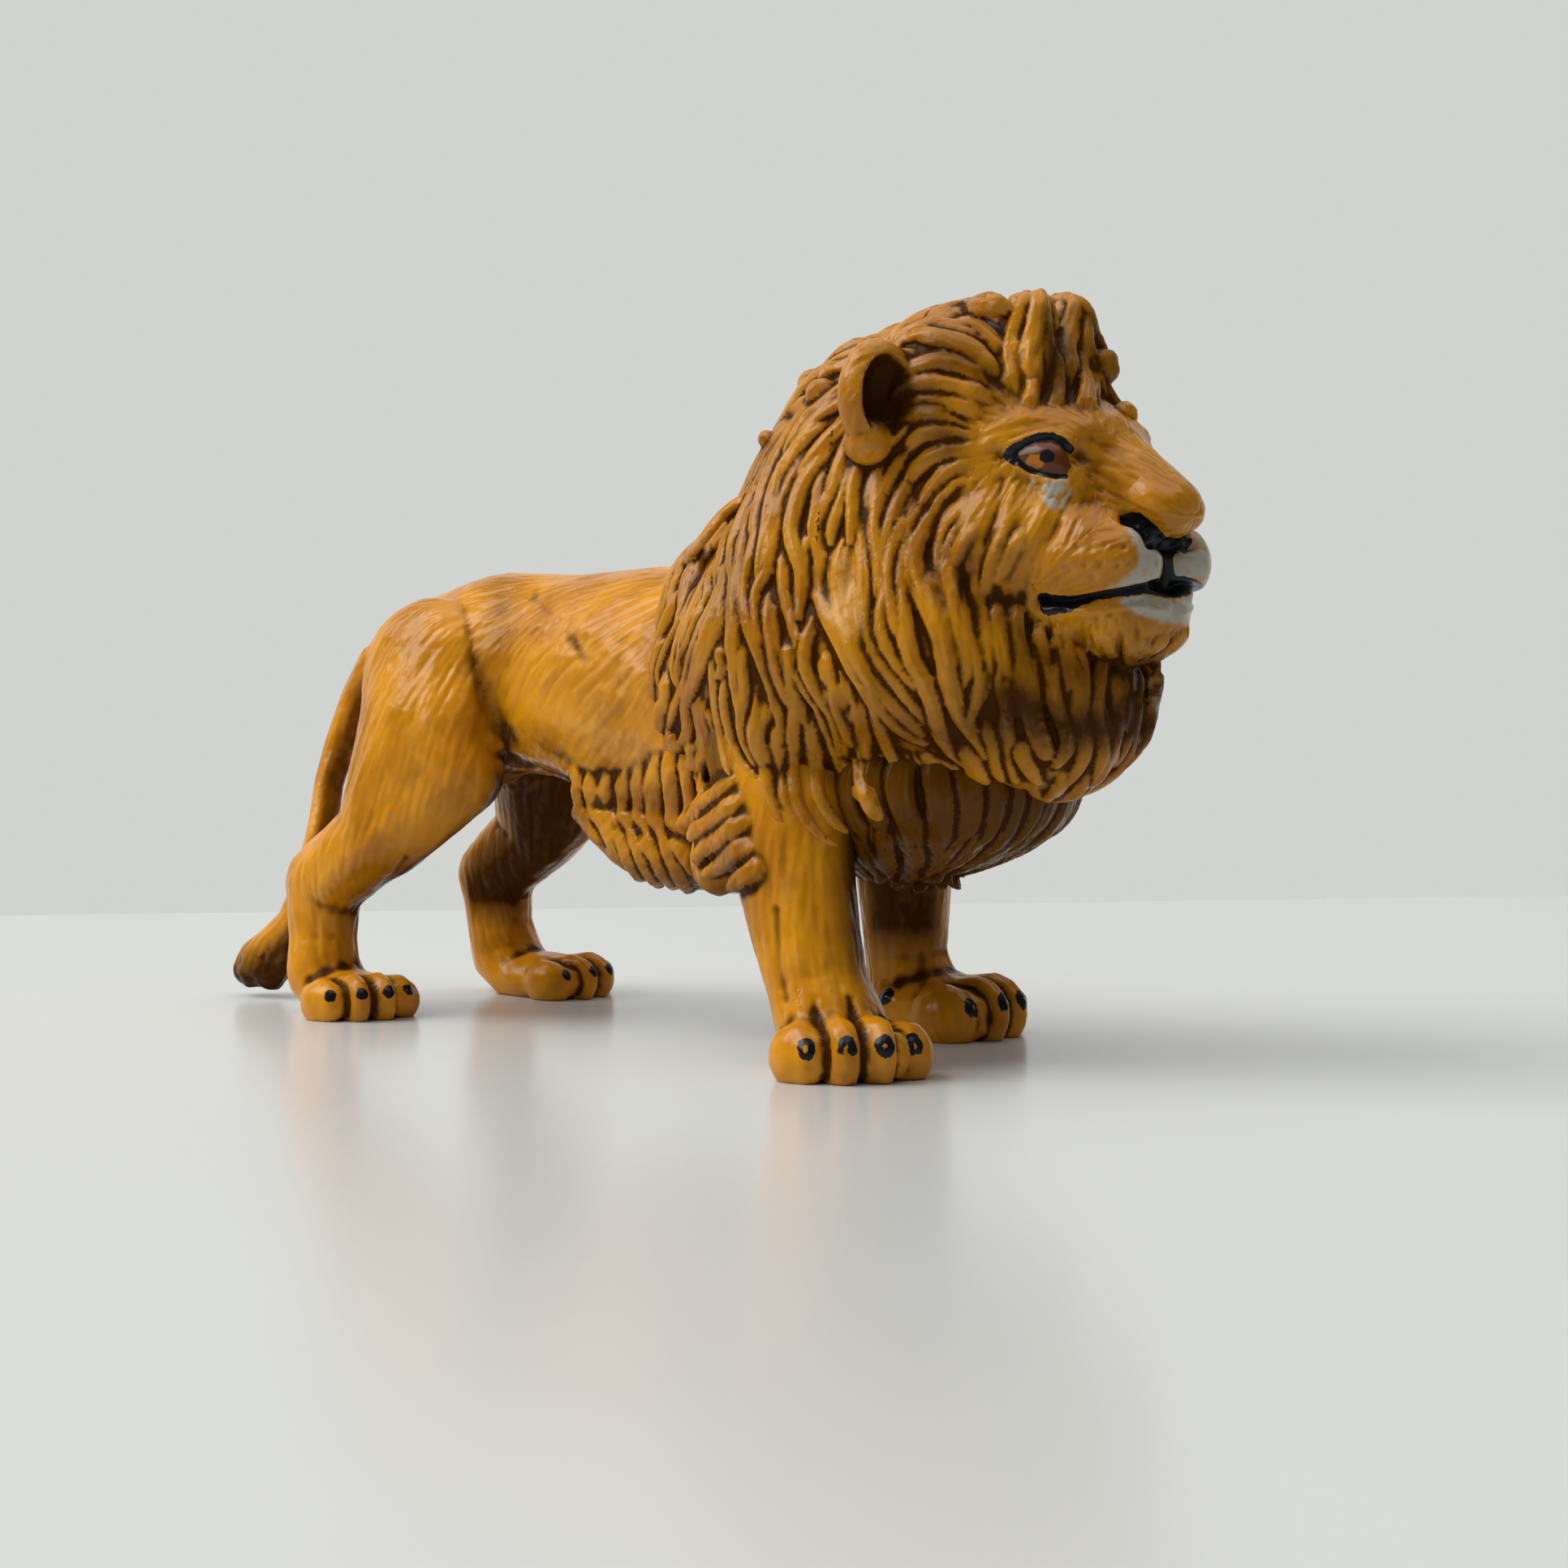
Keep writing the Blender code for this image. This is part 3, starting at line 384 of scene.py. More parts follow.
def grain(places, size, seed):
    """Smooth random values from -1 to 1, in lumps of a size."""
    cell = places / size + seed * 17.31
    base = np.floor(cell).astype(np.int64)
    part = cell - base
    part = part * part * (3.0 - 2.0 * part)
    total = np.zeros(len(places))
    for corner in range(8):
        step = np.array([(corner >> axis) & 1 for axis in range(3)])
        key = (base + step) @ np.array([73856093, 19349663, 83492791])
        key = (key ^ (key >> 13)) * 1274126177
        key = (key ^ (key >> 16)) & 0xFFFF
        weight = np.prod(np.where(step == 1, part, 1.0 - part), axis=1)
        total += weight * (key / 32767.5 - 1.0)
    return total


def strokes(places, flow, width, length, seed):
    """Random values drawn out along the flow, as hair is, from sizes in millimetres."""
    reach = np.linspace(-0.5, 0.5, STROKE_SAMPLES) * (length * MM)
    total = sum(grain(places + flow * step, width * MM, seed) for step in reach)
    return np.clip(total / STROKE_SAMPLES * STROKE_CONTRAST, -1.0, 1.0)


def flow_over(places, facing, guides, spread):
    """The way the hair lies at each place, from guides of place and way, kept on the skin."""
    flow = np.zeros_like(places)
    for start in range(0, len(places), 20000):
        part = slice(start, start + 20000)
        gap = places[part, None, :] - guides[None, :, :3]
        weight = np.exp(-(gap ** 2).sum(2) / (2 * spread ** 2)) + 1e-12
        flow[part] = weight @ guides[:, 3:]
    return unit(levelled(flow, facing))


def edges_of(item):
    return read(item.data.edges, "vertices", np.int32, 2)


def evened(values, pairs, rounds):
    """Values spread over the skin by averaging neighbours."""
    count = len(values)
    degree = np.bincount(pairs.ravel(), minlength=count).astype(float)
    for _ in range(rounds):
        sums = [
            np.bincount(pairs[:, 0], column[pairs[:, 1]], count)
            + np.bincount(pairs[:, 1], column[pairs[:, 0]], count)
            for column in values.T
        ]
        values = (np.stack(sums, axis=1) / degree[:, None] + values) / 2
    return values


def depth_below(item, rounds):
    """How deep each vertex lies below the skin around it, in metres."""
    places, facing = points_of(item)
    return ((evened(places, edges_of(item), rounds) - places) * facing).sum(1)


def groove_shade(item, fine, wide):
    """How much painted shade darkens the grooves, and how deep the wide ones are. Fine and wide ones are
    each given as rounds of evening, the depth in millimetres that is full, and the most shade."""
    depths = [depth_below(item, rounds) for rounds in (fine[0], wide[0])]
    brown = limited(depths[0] / (fine[1] * MM)) * fine[2] + limited(depths[1] / (wide[1] * MM), wide[2])
    return brown, depths[1]


def from_point(places, point):
    return np.linalg.norm(places - np.array(point), axis=1)


def line_distance(places, line):
    """Distance of every place from a chain of points."""
    line = np.asarray(line, float)
    nearest = np.full(len(places), 1e9)
    for start, end in zip(line, line[1:]):
        along = end - start
        share = limited((places - start) @ along / max(along @ along, 1e-12))
        gap = np.linalg.norm(places - start - share[:, None] * along, axis=1)
        nearest = np.minimum(nearest, gap)
    return nearest


def skin_of(item):
    mesh = item.data
    return BVHTree.FromPolygons(
        [vertex.co for vertex in mesh.vertices], [face.vertices for face in mesh.polygons]
    )


def seen_on(skin, x, y):
    """The place on a skin behind a pixel of the photograph, or the nearest place beside it."""
    way = sight_line(x, y)
    hit = skin.ray_cast(EYE, way)[0]
    if hit is not None:
        return hit
    tried = [skin.find_nearest(EYE + way * float(reach)) for reach in np.arange(*LION_AWAY)]
    return min(tried, key=lambda found: found[3])[0]


def seen_line(skin, pixels):
    return np.array([seen_on(skin, x, y) for x, y in pixels])


def mirrored(line):
    """The same points on the lion's left."""
    other = np.array(line, dtype=float)
    other[:, 1] = 2 * HIND_FEET.y - other[:, 1]
    return other


def relaxed(rows, rounds):
    """A chain whose kinks are evened out between its ends."""
    for _ in range(rounds):
        rows[1:-1] = (rows[:-2] + rows[1:-1] * 2 + rows[2:]) / 4
    return rows


def give(item, name, values):
    """Keeps a value for each vertex, for the material to read."""
    field = item.data.attributes.new(name, "FLOAT", "POINT")
    field.data.foreach_set("value", values.astype(np.float32))


def part_off(item, name, faces, fields):
    """A closed piece from some faces of a skin, with the fields it carries."""
    mesh = item.data
    sizes = read(mesh.polygons, "loop_total", np.int32)
    kept = read(mesh.loops, "vertex_index", np.int32)[np.repeat(faces, sizes)]
    used, slots = np.unique(kept, return_inverse=True)
    made = bpy.data.meshes.new(name)
    rows = np.split(slots, np.cumsum(sizes[faces])[:-1])
    places = read(mesh.vertices, "co", wide=3)[used].tolist()
    made.from_pydata(places, [], [row.tolist() for row in rows])
    piece = linked(name, made)
    edit(piece, "EDGE")
    bpy.ops.mesh.select_non_manifold()
    bpy.ops.mesh.mark_sharp()
    bpy.ops.mesh.fill_holes(sides=0)
    bpy.ops.mesh.select_mode(type="FACE")
    bpy.ops.mesh.select_all(action="DESELECT")
    bpy.ops.mesh.select_face_by_sides(number=4, type="GREATER")
    bpy.ops.mesh.quads_convert_to_tris()
    leave()
    for field, values in fields.items():
        give(piece, field, values[used])
    made.shade_smooth()
    return piece


def smooth_path(points, count):
    """A smooth curve through points, as evenly spaced places."""
    points = np.asarray(points, float)
    ends = np.vstack([2 * points[0] - points[1], points, 2 * points[-1] - points[-2]])
    made = []
    for index in range(len(points) - 1):
        before, start, end, after = ends[index:index + 4]
        for share in np.linspace(0.0, 1.0, 9)[:-1]:
            bend = (2 * before - 5 * start + 4 * end - after) * share ** 2
            twist = (3 * start - before - 3 * end + after) * share ** 3
            made.append(start + 0.5 * ((end - before) * share + bend + twist))
    made = np.array(made + [points[-1]])
    run = np.concatenate([[0.0], np.cumsum(np.linalg.norm(np.diff(made, axis=0), axis=1))])
    shares = np.linspace(0.0, run[-1], count)
    return np.stack([np.interp(shares, run, made[:, axis]) for axis in range(3)], axis=1)


COMBED_DEPTH = 7.0 * MM
EDGE_SNAP = 2.3 * MM


def combed_line(skin, pixels):
    """A line of the photograph laid on a skin. Just beside an edge it lies on that edge, and
    further off it hangs at the same distance from the camera."""
    line, ways, reach, out = [], [], None, None
    for x, y in pixels:
        way = sight_line(x, y)
        hit, normal, _, gap = skin.ray_cast(EYE, way)
        if hit is None:
            edge = seen_on(skin, x, y)
            beside = (edge - EYE).cross(way).length
            if reach is None or beside < EDGE_SNAP:
                hit, normal, gap = edge, skin.find_nearest(edge)[1], (edge - EYE).length
        if hit is None or (reach is not None and abs(gap - reach) > COMBED_DEPTH):
            hit, normal = EYE + way * reach, out
        else:
            reach, out = gap, normal
        line.append(hit)
        ways.append(normal)
    return np.array(line), np.array(ways)


def seen_width(pixels, line):
    """The real width of a strand that is so many pixels wide where the line is."""
    return pixels * float(np.linalg.norm(line - np.array(EYE), axis=1).mean()) / FOCAL_PIXELS


def model_strand():
    """One straight strand, root at nought and tip at one along X, to be bent along each path."""
    bpy.ops.object.select_all(action="DESELECT")
    bpy.ops.mesh.primitive_cylinder_add(
        vertices=STRAND_SIDES, radius=1.0, depth=1.0, location=(0.5, 0.0, 0.0), rotation=(0.0, pi / 2, 0.0)
    )
    strand = bpy.context.object
    bpy.ops.object.transform_apply(location=True, rotation=True, scale=True)
    edit(strand, "EDGE")
    leave()
    for edge in strand.data.edges:
        start, end = (strand.data.vertices[index].co.x for index in edge.vertices)
        edge.select = abs(start - end) > 0.5
    bpy.ops.object.mode_set(mode="EDIT")
    bpy.ops.mesh.subdivide(number_cuts=STRAND_CUTS)
    leave()
    return strand


strand = model_strand()
STRAND_POINTS = points_of(strand)[0]
STRAND_FACES = [tuple(face.vertices) for face in strand.data.polygons]
bpy.data.objects.remove(strand)
PLACES_ON_PATH = 40
# Where along a strand its tip starts to round off, how thin its root is and how fast it grows
TIP_FROM, ROOT_GIRTH, GIRTH_GROWTH = 0.80, 0.45, 3.2
# In widths of a clump: where its strands lie, how thick they are, how far they stray, how much
# of their distance they lose at the tip, and how much lower the outer ones lie
STRAND_OFFSETS, STRAND_RADII = (-1 / 3, 0.0, 1 / 3), (0.27, 0.33)
WANDER, TIPS_MEET, CLUMP_ROUND = 0.10, 0.55, 0.9


def clump(path, out, width, seed, proud=0.5):
    """Copies of the strand bent side by side along a path: they part at the root and meet in a
    rounded tip. Gives the points of each copy."""
    luck = np.random.default_rng(seed)
    path = smooth_path(path, PLACES_ON_PATH)
    ahead = unit(np.gradient(path, axis=0))
    out = unit(levelled(smooth_path(out, PLACES_ON_PATH), ahead))
    beside = np.cross(ahead, out)
    share, round_y, round_z = STRAND_POINTS.T
    marks = np.linspace(0.0, 1.0, PLACES_ON_PATH)

    def along(rows):
        return np.stack([np.interp(share, marks, rows[:, axis]) for axis in range(3)], axis=1)

    middle, side, up = along(path), along(beside), along(out)
    tip = limited((share - TIP_FROM) / (1.0 - TIP_FROM))
    girth = np.minimum(1.0, ROOT_GIRTH + GIRTH_GROWTH * share)
    girth = girth * np.sqrt(np.maximum(1.0 - tip ** 2, 0.02))
    wander = WANDER * np.sin(2 * pi * (share * luck.uniform(0.8, 1.8) + luck.uniform()))
    rise = np.interp(share, (0.0, 0.18, 0.7, 1.0), (-0.30, proud * 0.8, proud, proud * 0.7))
    made = []
    for offset in STRAND_OFFSETS:
        part = offset * (1.0 - TIPS_MEET * share ** 3) + wander * luck.uniform(0.4, 1.0)
        radius = width * luck.uniform(*STRAND_RADII) * girth
        lift = width * (0.5 * rise - CLUMP_ROUND * offset ** 2 + luck.uniform(-0.05, 0.07))
        made.append(
            middle
            + side * (part * width + radius * round_y)[:, None]
            + up * (lift + radius * round_z * 0.95)[:, None]
        )
    return made


def strands_object(name, copies):
    """All the bent strands as one mesh."""
    count = len(STRAND_POINTS)
    rows = [
        tuple(corner + index * count for corner in face)
        for index in range(len(copies)) for face in STRAND_FACES
    ]
    made = bpy.data.meshes.new(name)
    made.from_pydata(np.concatenate(copies).tolist(), [], rows)
    item = linked(name, made)
    edit(item, action="SELECT")
    bpy.ops.mesh.normals_make_consistent(inside=False)
    leave()
    return item


def parted(item, names, plastic, fields, owners=None):
    """Cuts a sculpt into its castings, each of which stands for its node. Owners say which
    casting each face belongs to, where there is more than one."""
    if owners is None:
        owners = np.zeros(len(item.data.polygons), int)
    for index, name in enumerate(names):
        piece = part_off(item, "cast_" + name, owners == index, fields)
        piece.data.materials.append(plastic)
        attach(piece, "root")
        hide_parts(name)
    bpy.data.objects.remove(item)


def face_middles(item, values):
    """The mean over each face of a value kept at the vertices."""
    count = read(item.data.polygons, "loop_total", np.int32)
    corners = read(item.data.loops, "vertex_index", np.int32)
    starts = np.concatenate([[0], np.cumsum(count)[:-1]])
    total = np.add.reduceat(values[corners], starts, axis=0)
    return total / (count[:, None] if values.ndim > 1 else count)


def photo_place(places):
    """Where places show in the photograph. Those on the lion's left count as if on the right."""
    gap = places - np.array(EYE)
    gap[:, 1] = HIND_FEET.y - np.abs(places[:, 1] - HIND_FEET.y) - EYE.y
    right, ahead = np.array(RIGHTWARDS), np.array(SIGHT)
    up = np.cross(right, ahead)
    scale = FOCAL_PIXELS / (gap @ ahead)
    middle = PHOTO_SIDE / 2
    return np.stack([middle + gap @ right * scale, middle - gap @ up * scale], axis=1)


def inside(points, outline):
    """How far each point lies inside an outline, and less than nought outside it."""
    outline = np.asarray(outline, float)
    x, y = points.T
    odd = np.zeros(len(points), bool)
    for (x0, y0), (x1, y1) in zip(outline, np.roll(outline, -1, axis=0)):
        odd ^= ((y0 > y) != (y1 > y)) & (x < (x1 - x0) * (y - y0) / (y1 - y0 + 1e-9) + x0)
    edge = line_distance(points, np.vstack([outline, outline[:1]]))
    return np.where(odd, edge, -edge)


def relief(points, table):
    """Heights of rounded ridges and grooves, each given as height, half width and its line."""
    total = np.zeros(len(points))
    for height, reach, *line in table:
        line = line * 2 if len(line) == 1 else line
        total += height * np.exp(-(line_distance(points, line) / reach) ** 2)
    return total


def painted(depth):
    """Turns pixels inside an edge into the share that the brushed paint reads."""
    return limited(0.5 + depth / PAINT_SOFTNESS)


def blended(tree, share, under, over):
    """One colour laid over another by a share."""
    mix = add_node(tree, "Mix")
    mix.data_type = "RGBA"
    for value, socket in ((share, 0), (under, 6), (over, 7)):
        feed(tree, value, mix.inputs[socket])
    return mix.outputs[2]


def field_of(tree, name):
    node = add_node(tree, "Attribute")
    node.attribute_name = name
    return node.outputs["Fac"]


def mottle(tree, scale, detail=4.0):
    """Random blotches in the object's own coordinates, so many to the metre."""
    place = add_node(tree, "TexCoord").outputs["Object"]
    return add_node(tree, "TexNoise", Vector=place, Scale=scale, Detail=detail).outputs["Fac"]


def ramp(tree, value, low, high):
    """Nought below one level, whole above another."""
    node = add_node(tree, "MapRange", Value=value, From_Min=low, From_Max=high)
    node.interpolation_type = "SMOOTHSTEP"
    return node.outputs["Result"]


PALE_OCHRE = (0.760, 0.310, 0.0060, 1.0)
DEEP_OCHRE = (0.520, 0.190, 0.0030, 1.0)
# Brown of the painted shade in grooves, folds and shaded places
SHADE_BROWN = (0.040, 0.0105, 0.0006, 1.0)
# Pale tan of rubbed places and of painted highlights
RUBBED_AND_HIGHLIGHT_TAN = (0.800, 0.440, 0.1300, 1.0)
# Paints: field, colour, and the levels of the field between which the paint comes to cover
PAINTS = (
    ("white", (0.42, 0.40, 0.33, 1.0), (0.30, 0.90)),
    ("amber", (0.115, 0.030, 0.0020, 1.0), (0.48, 0.54)),
    ("gold", (0.420, 0.140, 0.0080, 1.0), (0.48, 0.54)),
    ("black", (0.006, 0.007, 0.010, 1.0), (0.48, 0.54)),
)
# Random blotches to the metre: in the cast colour, the wear, the gloss and the edges of paint
CAST_BLOTCHES, WEAR_BLOTCHES, GLOSS_BLOTCHES, EDGE_BLOTCHES = 130.0, 900.0, 420.0, 1500.0


def lion_plastic(name, shade=1.0):
    """Soft plastic cast in ochre, darkened brown with painted shade in its grooves and shaded places,
    rubbed pale where hands hold it and lit pale with painted highlights in places, and painted where the
    fields of the piece say so."""
    made = bpy.data.materials.new(name)
    made.use_nodes = True
    tree = made.node_tree
    shader = tree.nodes["Principled BSDF"]
    pale = [channel * shade for channel in PALE_OCHRE[:3]] + [1.0]
    deep = [channel * shade for channel in DEEP_OCHRE[:3]] + [1.0]
    cast = blended(tree, ramp(tree, mottle(tree, CAST_BLOTCHES), 0.35, 0.68), pale, deep)
    painted_shade = field_of(tree, "painted_shade")
    fine = mottle(tree, WEAR_BLOTCHES, 3.0)
    worn_and_highlit = worked(tree, "MULTIPLY", field_of(tree, "rub_and_highlight"), ramp(tree, fine, 0.34, 0.62))
    # Painted shade: brown laid over the cast colour in grooves and shaded places
    colour = blended(tree, worked(tree, "MULTIPLY", painted_shade, 0.96), cast, SHADE_BROWN)
    # Rubbed pale wear, and painted highlights
    colour = blended(tree, worked(tree, "MULTIPLY", worn_and_highlit, 0.60, True), colour, RUBBED_AND_HIGHLIGHT_TAN)
    edges = worked(tree, "SUBTRACT", mottle(tree, EDGE_BLOTCHES), 0.5)
    ragged = worked(tree, "MULTIPLY", edges, 0.5)
    for paint, tint, levels in PAINTS:
        edge = worked(tree, "ADD", field_of(tree, paint), ragged)
        colour = blended(tree, ramp(tree, edge, *levels), colour, tint)
    feed(tree, colour, shader.inputs["Base Color"])
    dull = worked(tree, "MULTIPLY", worn_and_highlit, 0.20)
    uneven = worked(tree, "MULTIPLY", mottle(tree, GLOSS_BLOTCHES), 0.14)
    rough = worked(tree, "ADD", uneven, 0.16)
    feed(tree, worked(tree, "ADD", rough, dull, True), shader.inputs["Roughness"])
    # Less gloss where the painted shade lies
    unshaded = worked(tree, "SUBTRACT", 1.0, worked(tree, "MULTIPLY", painted_shade, 0.85))
    feed(tree, worked(tree, "MULTIPLY", unshaded, 0.28), shader.inputs["Specular IOR Level"])
    shader.inputs["IOR"].default_value = 1.50
    texture = worked(tree, "ADD", field_of(tree, "stroke"), worked(tree, "MULTIPLY", fine, 0.35))
    bump = add_node(tree, "Bump", Height=texture, Strength=0.35, Distance=0.00018)
    feed(tree, bump.outputs["Normal"], shader.inputs["Normal"])
    return made


# The way the coat lies on the right: a place in millimetres, then the way of the hair there
COAT = (
    (-6, -5, 42, -0.5, -0.3, -0.8), (8, -4, 48, -1.0, -0.1, -0.2), (30, -4, 48, -1.0, -0.1, -0.2),
    (50, -6, 50, -1.0, -0.2, -0.2), (4, -14, 38, -0.35, 0.0, -1.0), (14, -12, 34, -0.2, 0.0, -1.0),
    (22, -12, 38, -0.6, 0.0, -0.7), (32, -13, 36, -0.85, 0.0, -0.6), (44, -14, 38, -0.8, 0.0, -0.7),
    (34, -12, 28, -0.8, 0.0, -0.5), (48, -13, 28, -0.5, 0.0, -0.9), (4, -16, 20, -0.5, 0.0, -1.0),
    (-4, -15, 10, 0.0, 0.0, -1.0), (2, -16, 4, 0.8, -0.2, -0.5), (60, -16, 36, -0.2, 0.0, -1.0),
    (66, -17, 26, -0.1, 0.0, -1.0), (65, -17, 16, 0.0, 0.0, -1.0), (66, -17, 8, 0.1, 0.0, -1.0),
    (76, -19, 5, 0.9, -0.4, -0.3),
)

# Locks of the belly fringe and of the elbows: width, then points from root to tip
FRINGE = (
    (20, (712, 945), (716, 975), (728, 1005), (744, 1042)),
    (20, (730, 950), (734, 980), (750, 1015), (770, 1062)),
    (22, (750, 950), (754, 985), (770, 1025), (792, 1082)),
    (22, (770, 945), (772, 985), (788, 1030), (812, 1090)),
    (22, (790, 935), (792, 985), (808, 1035), (830, 1096)),
    (22, (812, 925), (810, 980), (826, 1035), (852, 1098)),
    (20, (832, 920), (828, 970), (844, 1020), (864, 1066)),
    (18, (850, 915), (848, 960), (856, 995), (846, 1026)),
    (18, (742, 975), (754, 1010), (776, 1048)), (18, (782, 990), (798, 1030), (818, 1070)),
    (18, (820, 985), (836, 1030), (858, 1080)), (18, (870, 920), (866, 955), (874, 985), (862, 1008)),
)
ELBOW = (
    (20, (912, 958), (885, 978), (864, 998), (850, 1016)),
    (20, (918, 985), (890, 1005), (868, 1022), (850, 1038)),
    (20, (925, 1010), (898, 1030), (874, 1046), (856, 1060)),
    (20, (930, 1035), (906, 1055), (886, 1068), (868, 1080)),
    (20, (938, 1060), (920, 1080), (908, 1092), (898, 1102)),
    (16, (898, 990), (880, 1012), (872, 1030), (876, 1052)),
)
LOCKS_PROUD = 0.95
FRINGE_SEED, LEFT_FRINGE_SEED = 900, 950
LOCK_POINTS, LINE_ROUNDS, OUT_ROUNDS = 12, 3, 12
TOPS_AND_SOLES = 0.9
# Turns a way on the lion's right into the same way on its left
LEFTWARDS = np.array([1.0, -1.0, 1.0])
LEFT_ELBOW_BACK = Vector((-5.5, -1.0, 0.0)) * MM

# Folds of the skin and muscles: height in millimetres, half width, then the line
BODY_RELIEF = (
    (-0.35, 24, (616, 745), (610, 800), (604, 850), (600, 905)),
    (0.20, 14, (585, 760), (578, 820), (572, 880)),
    (0.45, 10, (704, 1002), (760, 1006), (850, 1014)),
    (0.35, 9, (612, 912), (650, 930), (700, 948)), (-0.35, 7, (616, 930), (655, 946), (700, 964)),
    (0.25, 14, (690, 760), (740, 790), (800, 850)), (-0.20, 12, (660, 740), (700, 770), (715, 810)),
    (0.30, 16, (480, 1010), (440, 1060), (400, 1100)), (-0.25, 10, (500, 1060), (470, 1100)),
    (-0.20, 8, (955, 1120), (958, 1180), (966, 1230)), (0.20, 10, (985, 1110), (988, 1180)),
)

# Painted shade in the folds, under the mane and where shade falls, and pale rubbed places with painted
# highlights, in the same form
BODY_SHADES = (
    (0.30, 24, (616, 735), (608, 800), (602, 860), (598, 915)), (0.15, 30, (700, 835), (760, 885)),
    (0.45, 16, (620, 958), (670, 972), (712, 1000)), (0.20, 30, (430, 800), (425, 960)),
    (0.35, 24, (890, 1095), (905, 1060), (900, 1000)), (0.80, 20, (876, 905), (884, 950)),
    (0.20, 34, (750, 1000), (800, 1050), (850, 1080)), (0.35, 12, (500, 1080), (440, 1110)),
)
RUBS_AND_HIGHLIGHTS = (
    (0.45, 22, (512, 775), (520, 900)), (0.60, 34, (705, 765), (790, 850)), (0.35, 20, (640, 765)),
    (0.40, 14, (384, 1060), (388, 1150)), (0.60, 12, (636, 902), (690, 940)),
    (0.50, 26, (735, 890), (775, 925)), (0.20, 20, (970, 1090), (975, 1200)),
)
# The joint of the haunch is filled and painted over, so that its groove takes little of the painted shade
HIP_JOINT = (
    (0.85, 26, (560, 735), (592, 740), (608, 800), (602, 860), (598, 925), (560, 960)),
    (0.40, 22, (440, 790), (470, 745), (520, 722), (580, 716)),
)
# Painted shade darkens the insides of the legs and the belly, from the paws up to here
INNER_SHADE = 1.0
BELLY_SHADE = 0.45
PAW_TOP, BELLY_LINE = 7.5, 30.0
PAW_FADE, BELLY_FADE = 4.0, 6.0
COAT_SPREAD, TOES_SMOOTH_TO = 7 * MM, 8 * MM

# Paws: the foot's place, how far it turns out in degrees, its length, width and height, and the
# size of its claws
PAWS = (
    ((71.4, -15.65), -34, (14.8, 14.2, 7.2), 1.0), ((59.4, 15.65), 6, (14.8, 14.2, 7.2), 1.0),
    ((-1.2, -14.4), -20, (14.0, 12.0, 5.8), 0.4), ((1.2, 14.4), 8, (14.0, 12.0, 5.8), 0.4),
)
TOES = ((0.23, -0.37, 0.31), (0.36, -0.13, 0.35), (0.36, 0.13, 0.35), (0.23, 0.37, 0.31))
TOES_FROM, TOES_FADE, TOES_TALL = 0.12, 0.2, 0.25
TOE_CREASE, TOE_SWELL = 0.60 * MM, 0.35 * MM
TOE_CREASE_WIDTH = 0.42 * MM
# Claws: the radius, line and height of the painted mark, and how far round it runs on each toe
CLAW_RADIUS, CLAW_LINE, CLAW_SWELL = 0.85 * MM, 0.42 * MM, 0.22 * MM
CLAW_SPANS = (150, 120, 205, 140)
CLAW_ARC, CLAW_TALL, CLAW_SOFTNESS = 0.7, 1.25, 1.2
BEFORE_TOES = 12
DEWCLAW = (1093, 1228)
DEWCLAW_PAINT, DEWCLAW_RADIUS, DEWCLAW_SWELL = 1.0 * MM, 0.9 * MM, 0.5 * MM
# Fur strokes: width and length in millimetres, then their heights
FUR, LOCKS = (0.55, 3.2), (1.3, 6.0)
FUR_HEIGHT, LOCKS_HEIGHT = 0.07, 0.06
# Grooves that take brown painted shade: rounds of evening, depth in millimetres and most shade
FINE_FOLDS, WIDE_FOLDS = (24, 0.07, 0.8), (90, 0.6, 0.7)


def toe_places(foot, turn_out, size):
    """Middles of the four toes of a paw, the way ahead and the way to the left of it."""
    ahead = Vector((cos(radians(turn_out)), sin(radians(turn_out)), 0.0))
    left = Vector((-ahead.y, ahead.x, 0.0))
    root = at(*foot, 0.0)
    places = [
        root + (ahead * size[0] * along + left * size[1] * across) * MM
        + Vector((0.0, 0.0, size[2] * height * MM))
        for along, across, height in TOES
    ]
    return places, ahead, left


body_parts = []
for node in BODY_NODES:
    copy = copy_of_node(node)
    swell = FAR_LEG_FILL if node == "left_foreleg" else FILLER
    apply(copy, "DISPLACE", strength=swell, mid_level=0.0)
    body_parts.append(copy)
body_skin = join(body_parts)
fuse(body_skin, BODY_FILLED_STEP, BODY_ROUNDS)
body_bed = skin_of(body_skin)
copies = []
for number, (width, *pixels) in enumerate(FRINGE + ELBOW):
    pixels = smooth_path([(x, y, 0.0) for x, y in pixels], LOCK_POINTS)[:, :2]
    line, out = combed_line(body_bed, pixels)
    line, out = relaxed(line, LINE_ROUNDS), relaxed(out, OUT_ROUNDS)
    width = seen_width(width, line)
    copies += clump(line, out, width, FRINGE_SEED + number, proud=LOCKS_PROUD)
    line, out = mirrored(line), out * LEFTWARDS
    if number >= len(FRINGE):
        found = [body_bed.find_nearest(Vector(place) + LEFT_ELBOW_BACK) for place in line]
        line, out = np.array([hit[0] for hit in found]), np.array([hit[1] for hit in found])
    copies += clump(line, out, width, LEFT_FRINGE_SEED + number, proud=LOCKS_PROUD)
body_skin = join([body_skin, strands_object("work_fringe", copies)])
body_skin.name = "work_body"
fuse(body_skin, BODY_SKIN_STEP, 1)
places, facing = points_of(body_skin)
pixels = photo_place(places)
upright = np.abs(facing[:, 2]) < TOPS_AND_SOLES
places = places + facing * (relief(pixels, BODY_RELIEF) * upright * MM)[:, None]

